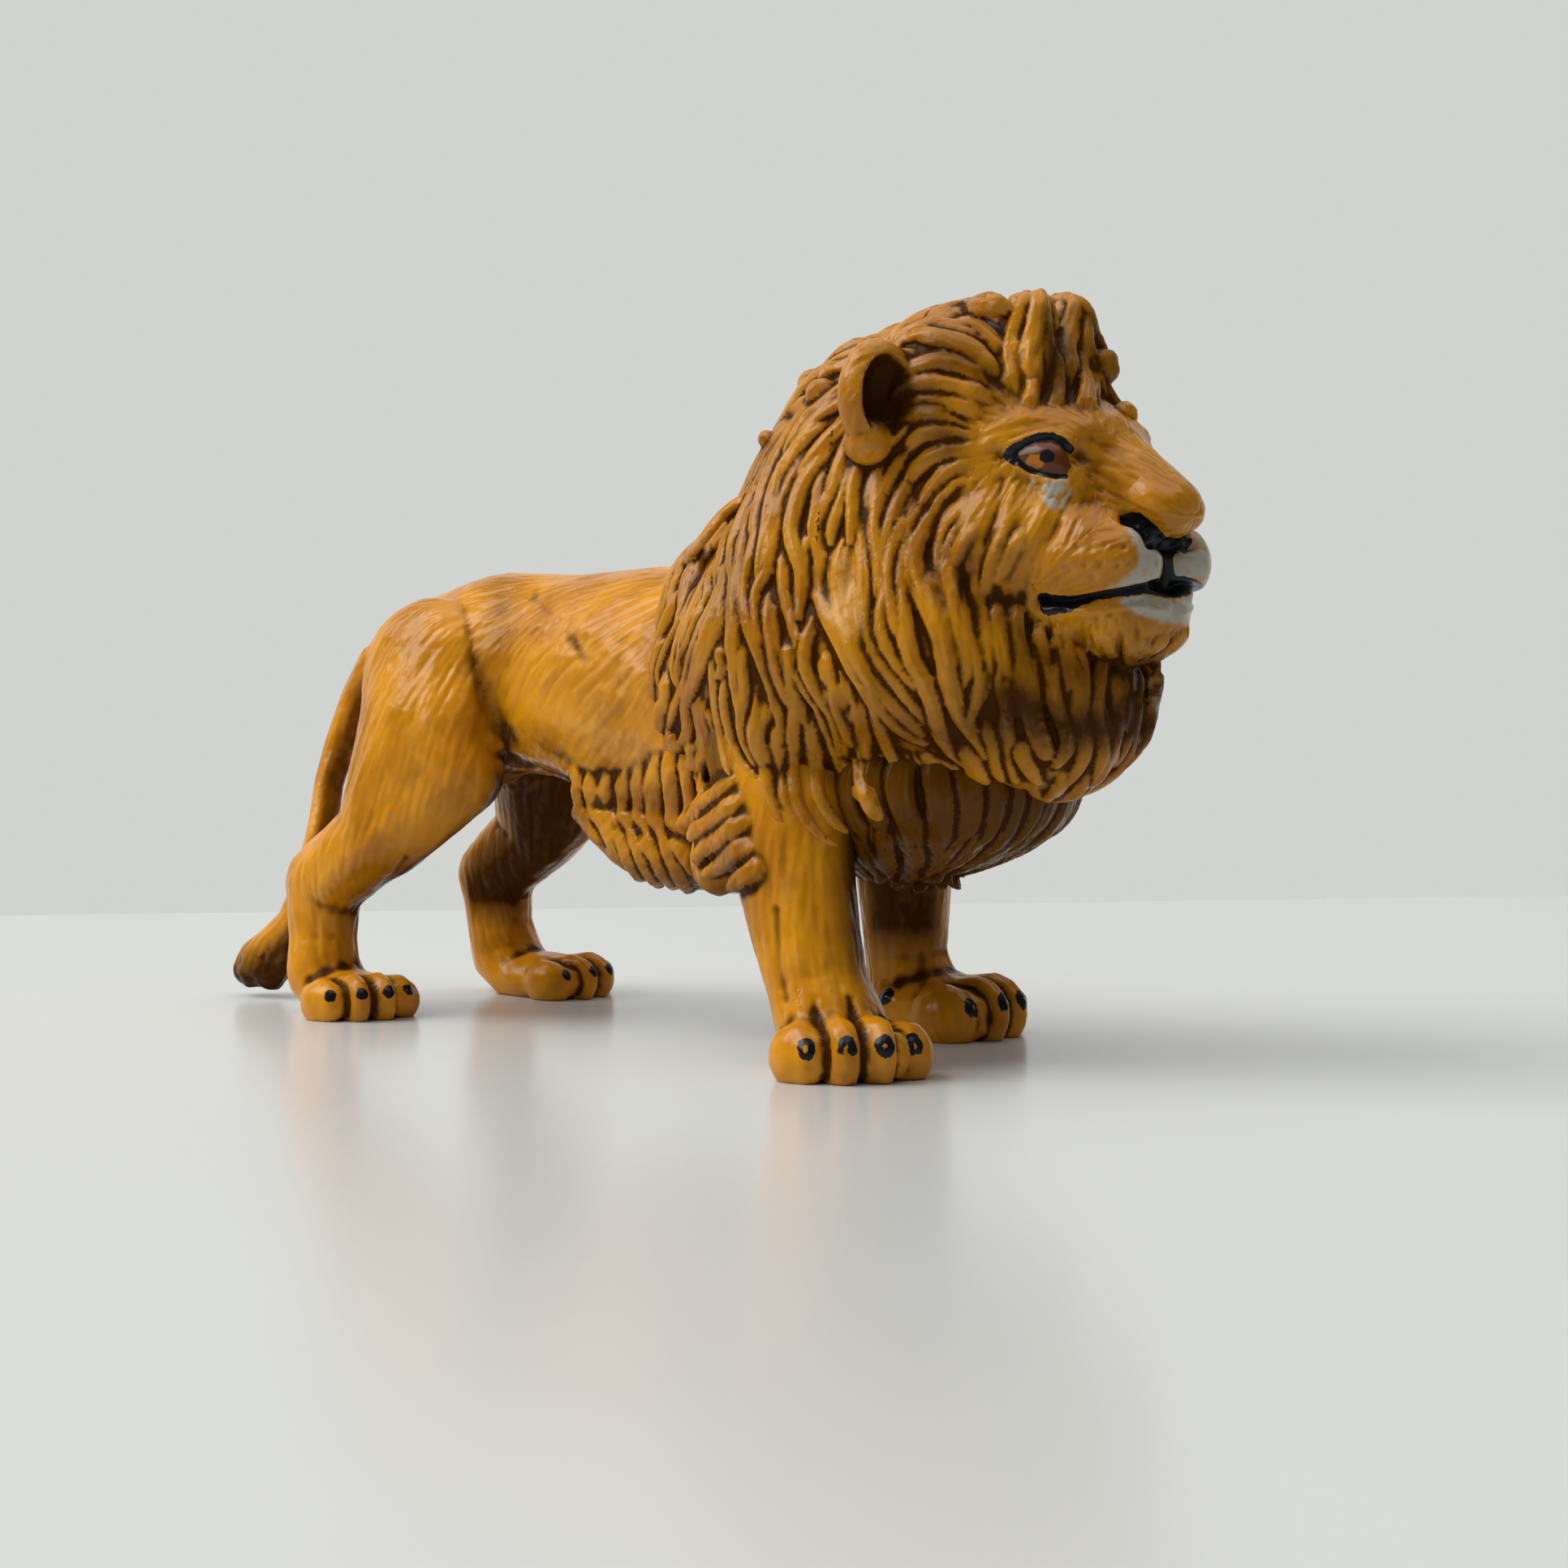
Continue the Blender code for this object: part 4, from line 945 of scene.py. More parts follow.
# Creases part the toes, and each toe has a painted claw
claws = np.full(len(places), -1.0)
bump = np.zeros(len(places))
for foot, turn_out, size, claw_size in PAWS:
    middles, ahead, left = toe_places(foot, turn_out, size)
    gaps = np.stack([
        np.hypot((places - np.array(toe)) @ np.array(left), (places[:, 2] - toe.z) * TOES_TALL)
        for toe in middles
    ])
    gaps.sort(axis=0)
    forward = (places - np.array(at(*foot, 0.0))) @ np.array(ahead) / (size[0] * MM)
    near = from_point(places, at(*foot, 2.0)) < size[0] * MM
    front = limited((forward - TOES_FROM) / TOES_FADE) * near * (places[:, 2] < size[2] * 1.1 * MM)
    crease = np.exp(-((gaps[1] - gaps[0]) / TOE_CREASE_WIDTH / 2) ** 2)
    bump -= crease * front * TOE_CREASE
    bump += limited(1.0 - gaps[0] / MM) * front * TOE_SWELL
    out = (ahead * 0.9 + UPWARDS * 0.38).normalized()
    rise = out.cross(left)
    for toe, span in zip(middles, CLAW_SPANS):
        hit = body_bed.ray_cast(toe + out * BEFORE_TOES * MM, -out)[0]
        turns = np.linspace(pi / 2 - radians(span), pi / 2 + radians(span), 9)
        radius = CLAW_RADIUS * CLAW_ARC * claw_size
        arc = [hit + (left * cos(turn) + rise * CLAW_TALL * sin(turn)) * radius for turn in turns]
        reach = line_distance(places, np.array(arc))
        claws = np.maximum(claws, (CLAW_LINE - reach) / MM)
        bump += CLAW_SWELL * np.exp(-(from_point(places, hit) / CLAW_RADIUS) ** 2)
reach = from_point(places, seen_on(body_bed, *DEWCLAW))
claws = np.maximum(claws, (DEWCLAW_PAINT - reach) / MM)
bump += DEWCLAW_SWELL * np.exp(-(reach / DEWCLAW_RADIUS) ** 2)
places = places + facing * bump[:, None]

move_points(body_skin, places)
folds, _ = groove_shade(body_skin, FINE_FOLDS, WIDE_FOLDS)

coat = np.array([[*at(*row[:3]), *row[3:]] for row in COAT])
coat = np.vstack([coat, np.hstack([mirrored(coat[:, :3]), coat[:, 3:] * LEFTWARDS])])
flow = flow_over(places, facing, coat, COAT_SPREAD)
hair = strokes(places, flow, *FUR, seed=1)
lean = strokes(places, flow, *LOCKS, seed=2)
smooth_toes = np.clip(places[:, 2] / TOES_SMOOTH_TO, 0.15, 1.0)
lift = (hair * FUR_HEIGHT + lean * LOCKS_HEIGHT) * smooth_toes * MM
places = places + facing * lift[:, None]
places[:, 2] = np.maximum(places[:, 2], 0.0)
move_points(body_skin, places)
side = np.sign(places[:, 1] - HIND_FEET.y)
height = places[:, 2] / MM
above_paws = limited((height - PAW_TOP) / PAW_FADE)
# Painted shade on the sides of the legs that face inwards and ahead, and under the belly
inwards = limited((facing[:, 0] * 0.6 - facing[:, 1] * side * 0.8) * 1.6 - 0.3)
inner = inwards * (above_paws * limited((BELLY_LINE - height) / BELLY_FADE))
below = limited(-facing[:, 2] * 1.4 - 0.3) * above_paws
folds *= 1.0 - limited(relief(pixels, HIP_JOINT), 0.85)
body_fields = {
    "painted_shade": limited(
        folds + relief(pixels, BODY_SHADES) + inner * INNER_SHADE + below * BELLY_SHADE
        + limited(-hair - 0.3) * 0.25
    ),
    "rub_and_highlight": limited(relief(pixels, RUBS_AND_HIGHLIGHTS) * (0.55 + hair * 0.6) + hair * 0.12),
    "stroke": hair * smooth_toes,
    "black": limited(0.5 + claws / CLAW_SOFTNESS),
}

# Each face of the filled skin belongs to the casting that it lies nearest to
corners_of_nodes, faces_of_nodes, node_of_face = [], [], []
for index, name in enumerate(BODY_NODES):
    mesh = frame["nodes"][name].data
    first = len(corners_of_nodes)
    corners_of_nodes += [vertex.co.copy() for vertex in mesh.vertices]
    faces_of_nodes += [[first + corner for corner in face.vertices] for face in mesh.polygons]
    node_of_face += [index] * len(mesh.polygons)
nodes_skin = BVHTree.FromPolygons(corners_of_nodes, faces_of_nodes)
nearest = np.array([node_of_face[nodes_skin.find_nearest(place)[2]] for place in places.tolist()])
shares = evened(np.eye(len(BODY_NODES))[nearest], edges_of(body_skin), 10)
owner = np.argmax(face_middles(body_skin, shares), axis=1)
body_plastic = lion_plastic("ochre_plastic")
parted(body_skin, BODY_NODES, body_plastic, body_fields, owner)

# Tail: a solid casting like a thick cord, glued into the rump. It hangs down in one curve, and
# its tuft of clumps, darkened brown, ends just above the table.

TAIL_SKIN_STEP = 0.24 * MM
TAIL_ROUNDS = 14
TAIL_BANDS, BAND_REACH = 40, 1.5 * MM
TUFT_HEIGHT = 7.5 * MM
TAIL_FUR, TUFT_CLUMPS = (0.5, 3.0), (1.3, 8.0)
TAIL_FUR_HEIGHT, TUFT_CLUMP_HEIGHT = 0.05, 0.70
TAIL_GROOVE = 0.08 * MM

tail = copy_of_node("tail")
fuse(tail, TAIL_SKIN_STEP, TAIL_ROUNDS)
places, facing = points_of(tail)
low, high = places.min(0), places.max(0)
heights = np.linspace(low[2], high[2], TAIL_BANDS)
bands = [places[np.abs(places[:, 2] - height) < BAND_REACH].mean(0) for height in heights]
spine = smooth_path(np.array(bands), 60)
along = unit(np.gradient(spine, axis=0))
nearest = np.argmin(((places[:, None, :] - spine[None, ::2, :]) ** 2).sum(2), axis=1) * 2
flow = -along[nearest]
hair = strokes(places, flow, *TAIL_FUR, seed=5)
tuft = limited(1.0 - (places[:, 2] - low[2]) / TUFT_HEIGHT)
clumps_of_tuft = strokes(places, flow, *TUFT_CLUMPS, seed=6)
lift = hair * TAIL_FUR_HEIGHT + clumps_of_tuft * TUFT_CLUMP_HEIGHT * tuft
places = places + facing * (lift * MM)[:, None]
places[:, 2] = np.maximum(places[:, 2], 0.0)
move_points(tail, places)
depth = depth_below(tail, 24)
# The tuft is darkened brown; painted shade darkens the grooves and the side of the tail that faces ahead
tail_fields = {
    "painted_shade": limited(
        limited(depth / TAIL_GROOVE) * 0.8 + tuft * 1.3
        + limited(facing[:, 0] * 1.4 - 0.2, 0.8)
    ),
    "rub_and_highlight": limited(0.1 + hair * 0.3) * (1.0 - tuft),
    "stroke": hair,
}
parted(tail, ("tail",), body_plastic, tail_fields)

# Mane and head: two castings that meet on a flat joint behind the ears, sculpted as one. The
# hair is laid on a plain mass in clumps of three strands each, and is combed back from the face
# and down over the shoulders. The face, ears and crest belong to the head.

MANE_SKIN_STEP = 0.235 * MM
HEAD_STEP, HEAD_ROUNDS = 0.35 * MM, 5
MASS_STEP, MASS_ROUNDS = 0.4 * MM, 2
# Balls of the plain mass: place and radii in millimetres. What has no left twin here gets one
MASS = {
    "nape": (55.5, 0, 43.5, 11.0, 12.0, 13.3),
    "crown": (67.7, 0, 55.9, 12.3, 15.3, 16.0),
    "side": (62.0, 0, 40.7, 17.4, 20.4, 13.9),
    "cheek_hair": (76.0, 0, 39.9, 13.7, 18.3, 12.7),
    "beard": (85.0, 0, 36.5, 8.4, 11.1, 9.7),
    "cape": (63.0, 0, 32.7, 11.2, 19.0, 7.0),
    "rear": (50.0, 0, 37.0, 9.5, 16.1, 13.0),
    "rear_top": (50.0, 0, 45.0, 10.0, 13.5, 9.5),
    "skull": (79.1, 0, 58.0, 12.0, 12.2, 11.2),
    "top": (75.9, 0, 66.6, 9.0, 12.0, 7.6),
    "brow": (88.0, 0, 59.4, 6.1, 8.3, 5.0),
    "bridge": (91.5, 0, 58.4, 3.8, 4.75, 3.6),
    "nose": (97.8, 0, 54.2, 3.4, 3.75, 3.0),
    "muzzle": (91.9, 0, 50.4, 6.4, 7.5, 5.4),
    "jaw": (85.5, 0, 47.2, 7.0, 10.75, 6.5),
    "chin": (94.3, 0, 44.1, 4.8, 6.5, 3.9),
    "right_cheek": (83.5, -7.5, 50.8, 6.1, 5.25, 7.2),
    "right_pad": (94.7, -4.1, 49.0, 4.8, 4.4, 4.4),
    "right_lid": (89.0, -6.7, 58.7, 2.5, 1.9, 2.1),
    "right_under_eye": (89.6, -5.6, 55.4, 3.8, 2.9, 3.6),
    "right_crest_foot": (85.5, -3.1, 64.5, 3.2, 3.0, 3.6),
    "right_crest_tip": (84.0, -2.9, 72.9, 1.9, 1.8, 2.2),
    "crest_foot": (86.1, 0, 64.8, 3.2, 3.0, 3.6),
    "crest_tip": (84.3, 0, 69.2, 1.7, 1.2, 2.0),
    "left_crest_tip": (84.0, 2.9, 72.7, 1.9, 1.8, 2.2),
}
for name, (ahead, left, *rest) in list(MASS.items()):
    if name.startswith("right"):
        MASS.setdefault(name.replace("right", "left"), (ahead, -left, *rest))
MANE_SKINS = (
    ("nape", "crown"), ("nape", "side"), ("crown", "side"), ("crown", "cheek_hair"),
    ("side", "cheek_hair"), ("cheek_hair", "beard"), ("side", "cape"), ("side", "rear"),
    ("nape", "rear_top"), ("rear_top", "rear"),
)
HEAD_SKINS = (
    ("skull", "top"), ("skull", "brow"), ("brow", "bridge"), ("bridge", "nose"),
    ("bridge", "muzzle"), ("skull", "jaw"), ("jaw", "muzzle"), ("jaw", "chin"),
    ("right_cheek", "right_pad"), ("left_cheek", "left_pad"), ("right_lid",), ("left_lid",),
    ("right_under_eye", "right_lid"), ("left_under_eye", "left_lid"),
    ("right_crest_foot", "right_crest_tip"), ("crest_foot", "crest_tip"),
    ("left_crest_foot", "left_crest_tip"), ("right_crest_foot", "skull"),
    ("left_crest_foot", "skull"),
)
EAR = (74.6, 14.2, 64.8)
EAR_RADII = (2.7, 4.2, 5.6)
CUP_RADII = (3.2, 2.9, 4.1)
CUP_FORWARD = 2.2
EAR_TURN = radians(18)
EAR_LOBE = (74.0, 14.9, 60.6, 2.4, 2.4, 2.3)

# Clumps seen in the photograph: width, then points from root to tip, in its pixels
SEEN_CLUMPS = (
    (26, (1250, 392), (1222, 376), (1192, 384), (1165, 390), (1142, 402)),
    (22, (1228, 366), (1200, 370), (1176, 384), (1140, 392), (1112, 402), (1104, 418)),
    (24, (1232, 470), (1210, 446), (1186, 430), (1160, 420), (1135, 416), (1118, 424)),
    (20, (1240, 440), (1222, 418), (1200, 402), (1175, 398)),
    (20, (1222, 476), (1192, 456), (1160, 446), (1130, 452), (1106, 470), (1100, 486)),
    (20, (1225, 498), (1190, 482), (1150, 474), (1118, 478), (1102, 494), (1098, 516)),
    (16, (1215, 512), (1180, 500), (1145, 492), (1118, 498), (1104, 514)),
    (20, (1190, 524), (1160, 512), (1130, 510), (1106, 526), (1094, 548), (1086, 575), (1078, 605),
     (1072, 640)),
    (20, (1200, 538), (1165, 530), (1136, 534), (1116, 556), (1100, 585), (1086, 615), (1080, 650),
     (1082, 690), (1080, 738)),
    (20, (1205, 552), (1170, 552), (1142, 566), (1122, 590), (1106, 620), (1096, 650), (1090, 690),
     (1096, 720), (1088, 750), (1086, 780), (1096, 808), (1116, 835), (1132, 855)),
    (20, (1210, 568), (1176, 572), (1152, 598), (1136, 626), (1120, 652), (1110, 690), (1112, 730),
     (1116, 775), (1124, 812), (1142, 842), (1152, 872), (1158, 902), (1172, 926), (1186, 940)),
    (24, (1200, 590), (1170, 604), (1150, 640), (1130, 660), (1122, 690), (1128, 720), (1144, 750),
     (1158, 780), (1166, 812), (1172, 850), (1190, 888), (1206, 908), (1216, 932)),
    (16, (1196, 610), (1168, 640), (1156, 670), (1160, 700), (1166, 730), (1172, 762)),
    (16, (1205, 640), (1186, 668), (1176, 700), (1176, 726)),
    (18, (1185, 730), (1188, 765), (1196, 800), (1204, 830), (1204, 860), (1196, 885), (1202, 912)),
    (14, (1200, 700), (1206, 740), (1214, 785), (1218, 820), (1214, 850), (1204, 872)),
    (14, (1222, 700), (1222, 740), (1228, 780), (1233, 812), (1232, 850), (1238, 880), (1236, 905)),
    (14, (1240, 650), (1225, 690), (1212, 735)),
    (14, (1262, 650), (1245, 680), (1230, 720)),
    (18, (1058, 556), (1048, 585), (1040, 612), (1030, 645), (1024, 675)),
    (16, (1074, 556), (1064, 590), (1060, 620), (1062, 655), (1066, 700), (1066, 750), (1072, 800),
     (1092, 826), (1112, 852), (1132, 878), (1152, 905)),
    (14, (1088, 560), (1076, 590), (1070, 620), (1076, 650)),
    (18, (1046, 546), (1030, 565), (1016, 592), (1010, 625), (1006, 655), (1014, 690), (1010, 728),
     (1020, 760), (1036, 790), (1052, 822), (1070, 852), (1086, 878), (1102, 900)),
    (18, (1030, 545), (1010, 568), (990, 600), (980, 632), (976, 660), (990, 700), (988, 735),
     (984, 765)),
    (24, (1030, 505), (1006, 525), (984, 555), (966, 585), (956, 615), (950, 650), (940, 690),
     (934, 720)),
    (22, (1024, 482), (1000, 505), (982, 532), (962, 562), (948, 595), (938, 630), (930, 665)),
    (22, (1004, 497), (978, 515), (958, 542), (942, 575), (926, 602), (908, 640), (895, 680),
     (884, 725)),
    (18, (958, 535), (935, 568), (915, 600), (896, 632), (872, 662), (850, 692), (834, 722),
     (824, 750)),
    (14, (925, 620), (912, 650), (905, 690), (902, 735), (906, 775), (903, 810), (908, 850),
     (916, 890), (922, 925), (940, 955)),
    (14, (945, 620), (930, 650), (922, 690), (916, 730), (920, 760), (934, 800), (948, 840),
     (958, 872), (966, 905), (980, 930)),
    (14, (962, 640), (952, 670), (948, 700), (932, 732), (934, 770), (944, 800)),
    (14, (975, 640), (966, 680), (966, 720), (974, 758), (984, 785), (984, 822), (990, 845),
     (1006, 866), (1018, 895), (1028, 925), (1042, 955), (1058, 985)),
    (14, (995, 650), (992, 690), (994, 720), (992, 745)),
    (14, (880, 660), (868, 690), (860, 725), (848, 760), (836, 795), (832, 830), (840, 850)),
    (14, (866, 715), (850, 750), (830, 785), (814, 822), (812, 845)),
    (14, (892, 690), (882, 735), (866, 772), (852, 808), (846, 840), (832, 870), (822, 905)),
    (16, (905, 700), (898, 745), (882, 785), (868, 815), (856, 845), (848, 872), (850, 900),
     (836, 925)),
    (14, (884, 790), (880, 825), (884, 865), (890, 905), (896, 940), (904, 958)),
    (14, (900, 820), (893, 862), (900, 900), (916, 935), (936, 962)),
    (14, (918, 780), (914, 815), (918, 850), (914, 885), (920, 915), (938, 948)),
    (16, (958, 745), (952, 780), (956, 815), (968, 845), (980, 872), (976, 905), (976, 940),
     (980, 975), (990, 1005), (1010, 1030), (1034, 1045)),
    (14, (948, 850), (942, 890), (940, 930), (948, 970), (958, 1005), (968, 1018)),
    (14, (965, 880), (958, 915), (962, 950), (968, 985), (980, 1008)),
    (18, (1004, 870), (1002, 905), (1004, 945), (1008, 980), (1026, 1012), (1046, 1030)),
    (16, (1020, 850), (1030, 890), (1036, 925), (1050, 960), (1066, 992)),
    (18, (1000, 760), (992, 800), (996, 830), (1014, 862), (1030, 888)),
    (26, (1046, 840), (1060, 880), (1064, 925), (1066, 960), (1074, 990), (1086, 1010)),
    (18, (1070, 850), (1086, 890), (1098, 925), (1110, 960)),
    (16, (1075, 830), (1096, 862), (1120, 888), (1142, 905)),
    (20, (1225, 735), (1228, 775), (1238, 815), (1248, 850)),
    (20, (1250, 740), (1252, 780), (1262, 820), (1270, 855)),
    (18, (1275, 765), (1280, 795), (1290, 830), (1296, 860)),
    (18, (1296, 775), (1304, 805), (1312, 838), (1318, 862)),
    (26, (1268, 790), (1262, 830), (1268, 868), (1280, 902), (1288, 936)),
    (22, (1300, 800), (1298, 840), (1306, 880), (1314, 915), (1300, 946)),
    (20, (1326, 806), (1322, 845), (1330, 890), (1334, 925), (1316, 966)),
    (20, (1348, 808), (1348, 850), (1354, 890), (1358, 928), (1342, 966)),
    (20, (1372, 812), (1374, 855), (1372, 900), (1366, 945)),
    (18, (1398, 812), (1400, 850), (1396, 890), (1384, 938)),
    (18, (1422, 806), (1424, 840), (1414, 880), (1402, 912)),
    (18, (1244, 800), (1240, 850), (1240, 900), (1250, 965)),
    (18, (1212, 880), (1218, 915), (1234, 962)),
    (18, (1262, 900), (1262, 935), (1282, 965)),
    (22, (1254, 486), (1244, 450), (1250, 415), (1258, 385), (1268, 364)),
    (26, (1276, 480), (1270, 440), (1274, 405), (1280, 375), (1288, 350)),
    (26, (1318, 480), (1312, 440), (1318, 405), (1322, 378), (1320, 354)),
    (20, (1334, 476), (1330, 445), (1336, 412), (1336, 384)),
    (16, (1270, 505), (1272, 470), (1258, 440)), (20, (1336, 505), (1338, 475), (1336, 455)),
    (14, (1300, 505), (1304, 470), (1300, 430)), (12, (1322, 470), (1330, 440), (1328, 420)),
)
# The way the short hair of the face lies, in the same form but with no width
FACE_HAIR = (
    ((1300, 520), (1250, 526), (1210, 545)), ((1240, 590), (1215, 640)), ((1290, 610), (1262, 665)),
    ((1330, 600), (1300, 660)), ((1330, 520), (1300, 505)), ((1440, 610), (1380, 590)),
    ((1400, 590), (1350, 570)), ((1390, 680), (1330, 705)), ((1330, 740), (1300, 780)),
    ((1400, 755), (1392, 805)), ((1440, 750), (1440, 790)), ((1200, 600), (1180, 650)),
)
# Curls that stand out of the outline: behind both ears, and some above the left brow alone
KNOBS = (
    (1002, 474, 1.6), (1020, 466, 1.3), (1012, 486, 1.6), (945, 541, 0.95), (952, 548, 1.1),
)
FAR_KNOBS = ((1346, 422, 1.2), (1350, 432, 1.2), (1362, 446, 1.3), (1364, 456, 1.3), (1386, 509, 1.2))
# Clumps nearer to the midline than this have no twin on the left
MIDLINE_KEPT = 2.5 * MM
CLUMPS_PROUD = 0.62
# Filling clumps: how far apart, their step, width and number of steps, tries, shortest and sway
FILL_APART = 1.10 * MM
FILL_STEP = 0.6 * MM
FILL_WIDTH = 1.7 * MM
FILL_STEPS = (14, 34)
FILL_TRIES, FILL_SHORTEST, FILL_SEED = 4200, 6, 1000
FILL_SWAY = 0.3 * MM
# The bare face lies ahead of the first of these and between the heights of the other two
HAIRLINE = (84.0, 43.5, 64.5)
SINK_ALLOWED, TRUNK_DEPTH = 0.2 * MM, 12 * MM


def ear_place(side, forward):
    """A place so many millimetres from the middle of an ear, the way that the ear opens."""
    ahead = Vector((cos(EAR_TURN), side * sin(EAR_TURN), 0.0))
    return at(EAR[0], side * EAR[1], EAR[2]) + ahead * forward * MM


def model_ear(side):
    """One ear: a thick round shell, hollowed from the front, with a lobe under it."""
    ear = add_ball(ear_place(side, 0.0), Vector(EAR_RADII) * MM, side * EAR_TURN)
    cup = add_ball(ear_place(side, CUP_FORWARD), Vector(CUP_RADII) * MM, side * EAR_TURN)
    apply(ear, "BOOLEAN", operation="DIFFERENCE", solver="EXACT", object=cup)
    bpy.data.objects.remove(cup)
    ahead, out, up, *radii = EAR_LOBE
    return join([ear, add_ball(at(ahead, side * out, up), Vector(radii) * MM)])


mane_mass = stretched_skins("work_mane", [[MASS[part] for part in pair] for pair in MANE_SKINS])
head_mass = stretched_skins("work_head", [[MASS[part] for part in pair] for pair in HEAD_SKINS])
fuse(head_mass, HEAD_STEP, HEAD_ROUNDS)
head_skin = skin_of(head_mass)
sculpt = join([mane_mass, head_mass])
fuse(sculpt, MASS_STEP, MASS_ROUNDS)
mass_skin = skin_of(sculpt)

# Everything that hair can lie on, as one skin
under_hair = linked("work_under_hair", sculpt.data.copy())
carriers = [copy_of_node(name) for name in ("torso", "right_foreleg", "left_foreleg", "chest_ruff")]
under_hair = join([under_hair] + carriers)
hair_bed = skin_of(under_hair)
bpy.data.objects.remove(under_hair)
copies, guides, taken = [], [], []


def guide_along(path, count):
    """Keeps how the hair runs along a path, as places and ways."""
    fine = smooth_path(path, count)
    guides.append(np.hstack([fine, unit(np.gradient(fine, axis=0))]))


def lay_clump(path, ways, width, seed):
    """Lays one long clump, which shorter ones keep clear of and run along."""
    copies.extend(clump(path, ways, width, seed, proud=CLUMPS_PROUD))
    taken.append(smooth_path(path, 60))
    guide_along(path, 14)


for number, (width, *pixels) in enumerate(SEEN_CLUMPS):
    line, out = combed_line(hair_bed, pixels)
    width = seen_width(width, line)
    lay_clump(line, out, width, number * 2)
    if line[:, 1].mean() < HIND_FEET.y - MIDLINE_KEPT:
        lay_clump(mirrored(line), out * LEFTWARDS, width, number * 2 + 1)
for pixels in FACE_HAIR:
    line = seen_line(head_skin, pixels)
    guide_along(line, 6)
    guide_along(mirrored(line), 6)

# Behind the ears, long clumps run from the crown down the nape: points from root to tip, each as
# millimetres forward of the mane joint and share of a half turn round from the crown
NAPE_CLUMPS = (
    ((2, 0.00), (-5, 0.01), (-12, 0.03), (-19, 0.04)),
    ((0, 0.06), (-6, 0.08), (-13, 0.11), (-20, 0.16)),
    ((-1, 0.12), (-6.5, 0.15), (-12.5, 0.19), (-18.5, 0.26)),
    ((-11, 0.00), (-15, 0.01), (-19, 0.02), (-23, 0.03)),
    ((-14, 0.16), (-17, 0.21), (-20, 0.28), (-22, 0.38)),
    ((-6, 0.20), (-11, 0.25), (-15.5, 0.33), (-19, 0.43)),
)
NAPE_WIDTH, NAPE_SEED = 2.6, 500
HEART = (69.5, 0, 48.3)
BEYOND_MANE = 0.06
COMB_BLEND, GUIDE_BLEND = 1.5 * MM, 0.6 * MM


def round_mane(ahead, turn, side):
    """The place on the mane at a turn from the crown, and the way out of it there."""
    out = Vector((0.0, side * sin(turn * pi), cos(turn * pi)))
    middle = at(HEART[0] + ahead, 0, HEART[2])
    return mass_skin.ray_cast(middle + out * BEYOND_MANE, -out)[0], out


for number, stations in enumerate(NAPE_CLUMPS):
    for side in (-1, 1):
        found = [round_mane(ahead, turn, side) for ahead, turn in stations]
        path, ways = np.array(found).transpose(1, 0, 2)
        lay_clump(path, ways, NAPE_WIDTH * MM, NAPE_SEED + number * 2 + side)
guides = np.concatenate(guides)
taken = np.concatenate(taken)


def combing(place):
    """The way the hair runs near a place."""
    gap = guides[:, :3] - np.array(place)
    weight = 1.0 / ((gap ** 2).sum(1) + COMB_BLEND ** 2) ** 3
    way = weight @ guides[:, 3:]
    return Vector(way / np.linalg.norm(way))


torso_skin = skin_of(frame["nodes"]["torso"])


def hairless(place):
    """True inside the trunk and on the face."""
    near, normal, _, gap = torso_skin.find_nearest(place)
    if (place - near).dot(normal) < -SINK_ALLOWED and gap < TRUNK_DEPTH:
        return True
    ahead, low, high = HAIRLINE
    return place.x > HIND_FEET.x + ahead * MM and low * MM < place.z < high * MM


# Between the seen clumps, shorter ones fill the mass all round, evenly spaced
luck = np.random.default_rng(7)
seeds = [vertex.co.copy() for vertex in sculpt.data.vertices]
for index in luck.permutation(len(seeds))[:FILL_TRIES]:
    place = seeds[index]
    if ((taken - np.array(place)) ** 2).sum(1).min() < FILL_APART ** 2 or hairless(place):
        continue
    line, ways = [], []
    for _ in range(int(luck.integers(*FILL_STEPS))):
        near, normal, _, _ = mass_skin.find_nearest(place)
        if hairless(near):
            break
        line.append(near)
        ways.append(normal)
        way = combing(near)
        way -= normal * way.dot(normal)
        place = near + way.normalized() * FILL_STEP
    if len(line) < FILL_SHORTEST:
        continue
    sway = np.sin(np.linspace(0.0, 2 * pi, len(line)) + luck.uniform(0.0, 6.0)) * FILL_SWAY
    path, ways = np.array(line), np.array(ways)
    path = path + unit(np.cross(np.gradient(path, axis=0), ways)) * sway[:, None]
    wide, proud = FILL_WIDTH * luck.uniform(0.75, 1.15), luck.uniform(0.3, 0.6)
    copies += clump(path[::2], ways[::2], wide, FILL_SEED + int(index), proud=proud)
    taken = np.concatenate([taken, smooth_path(path, 30)])

hair = strands_object("work_hair", copies)
knobs = []
for curls, on_both_sides in ((KNOBS, True), (FAR_KNOBS, False)):
    for x, y, radius in curls:
        place = EYE + sight_line(x, y) * (seen_on(hair_bed, x, y) - EYE).length
        centres = [place, mirrored([place])[0]] if on_both_sides else [place]
        knobs += [add_ball(centre, (radius * MM,) * 3) for centre in centres]
sculpt = join([sculpt, hair, model_ear(-1), model_ear(1)] + knobs)
sculpt.name = "work_sculpt"
fuse(sculpt, MANE_SKIN_STEP, 1)


def nearest_flow(places, facing, rows):
    """The way the hair lies at each place, blended from the three nearest guides."""
    tree = KDTree(len(rows))
    for index, row in enumerate(rows):
        tree.insert(row[:3], index)
    tree.balance()
    found = [tree.find_n(place, 3) for place in places.tolist()]
    index = np.array([[hit[1] for hit in hits] for hits in found])
    gap = np.array([[hit[2] for hit in hits] for hits in found])
    weight = 1.0 / (gap ** 2 + GUIDE_BLEND ** 2)
    flow = (rows[index, 3:] * weight[:, :, None]).sum(1)
    return unit(levelled(flow, facing))


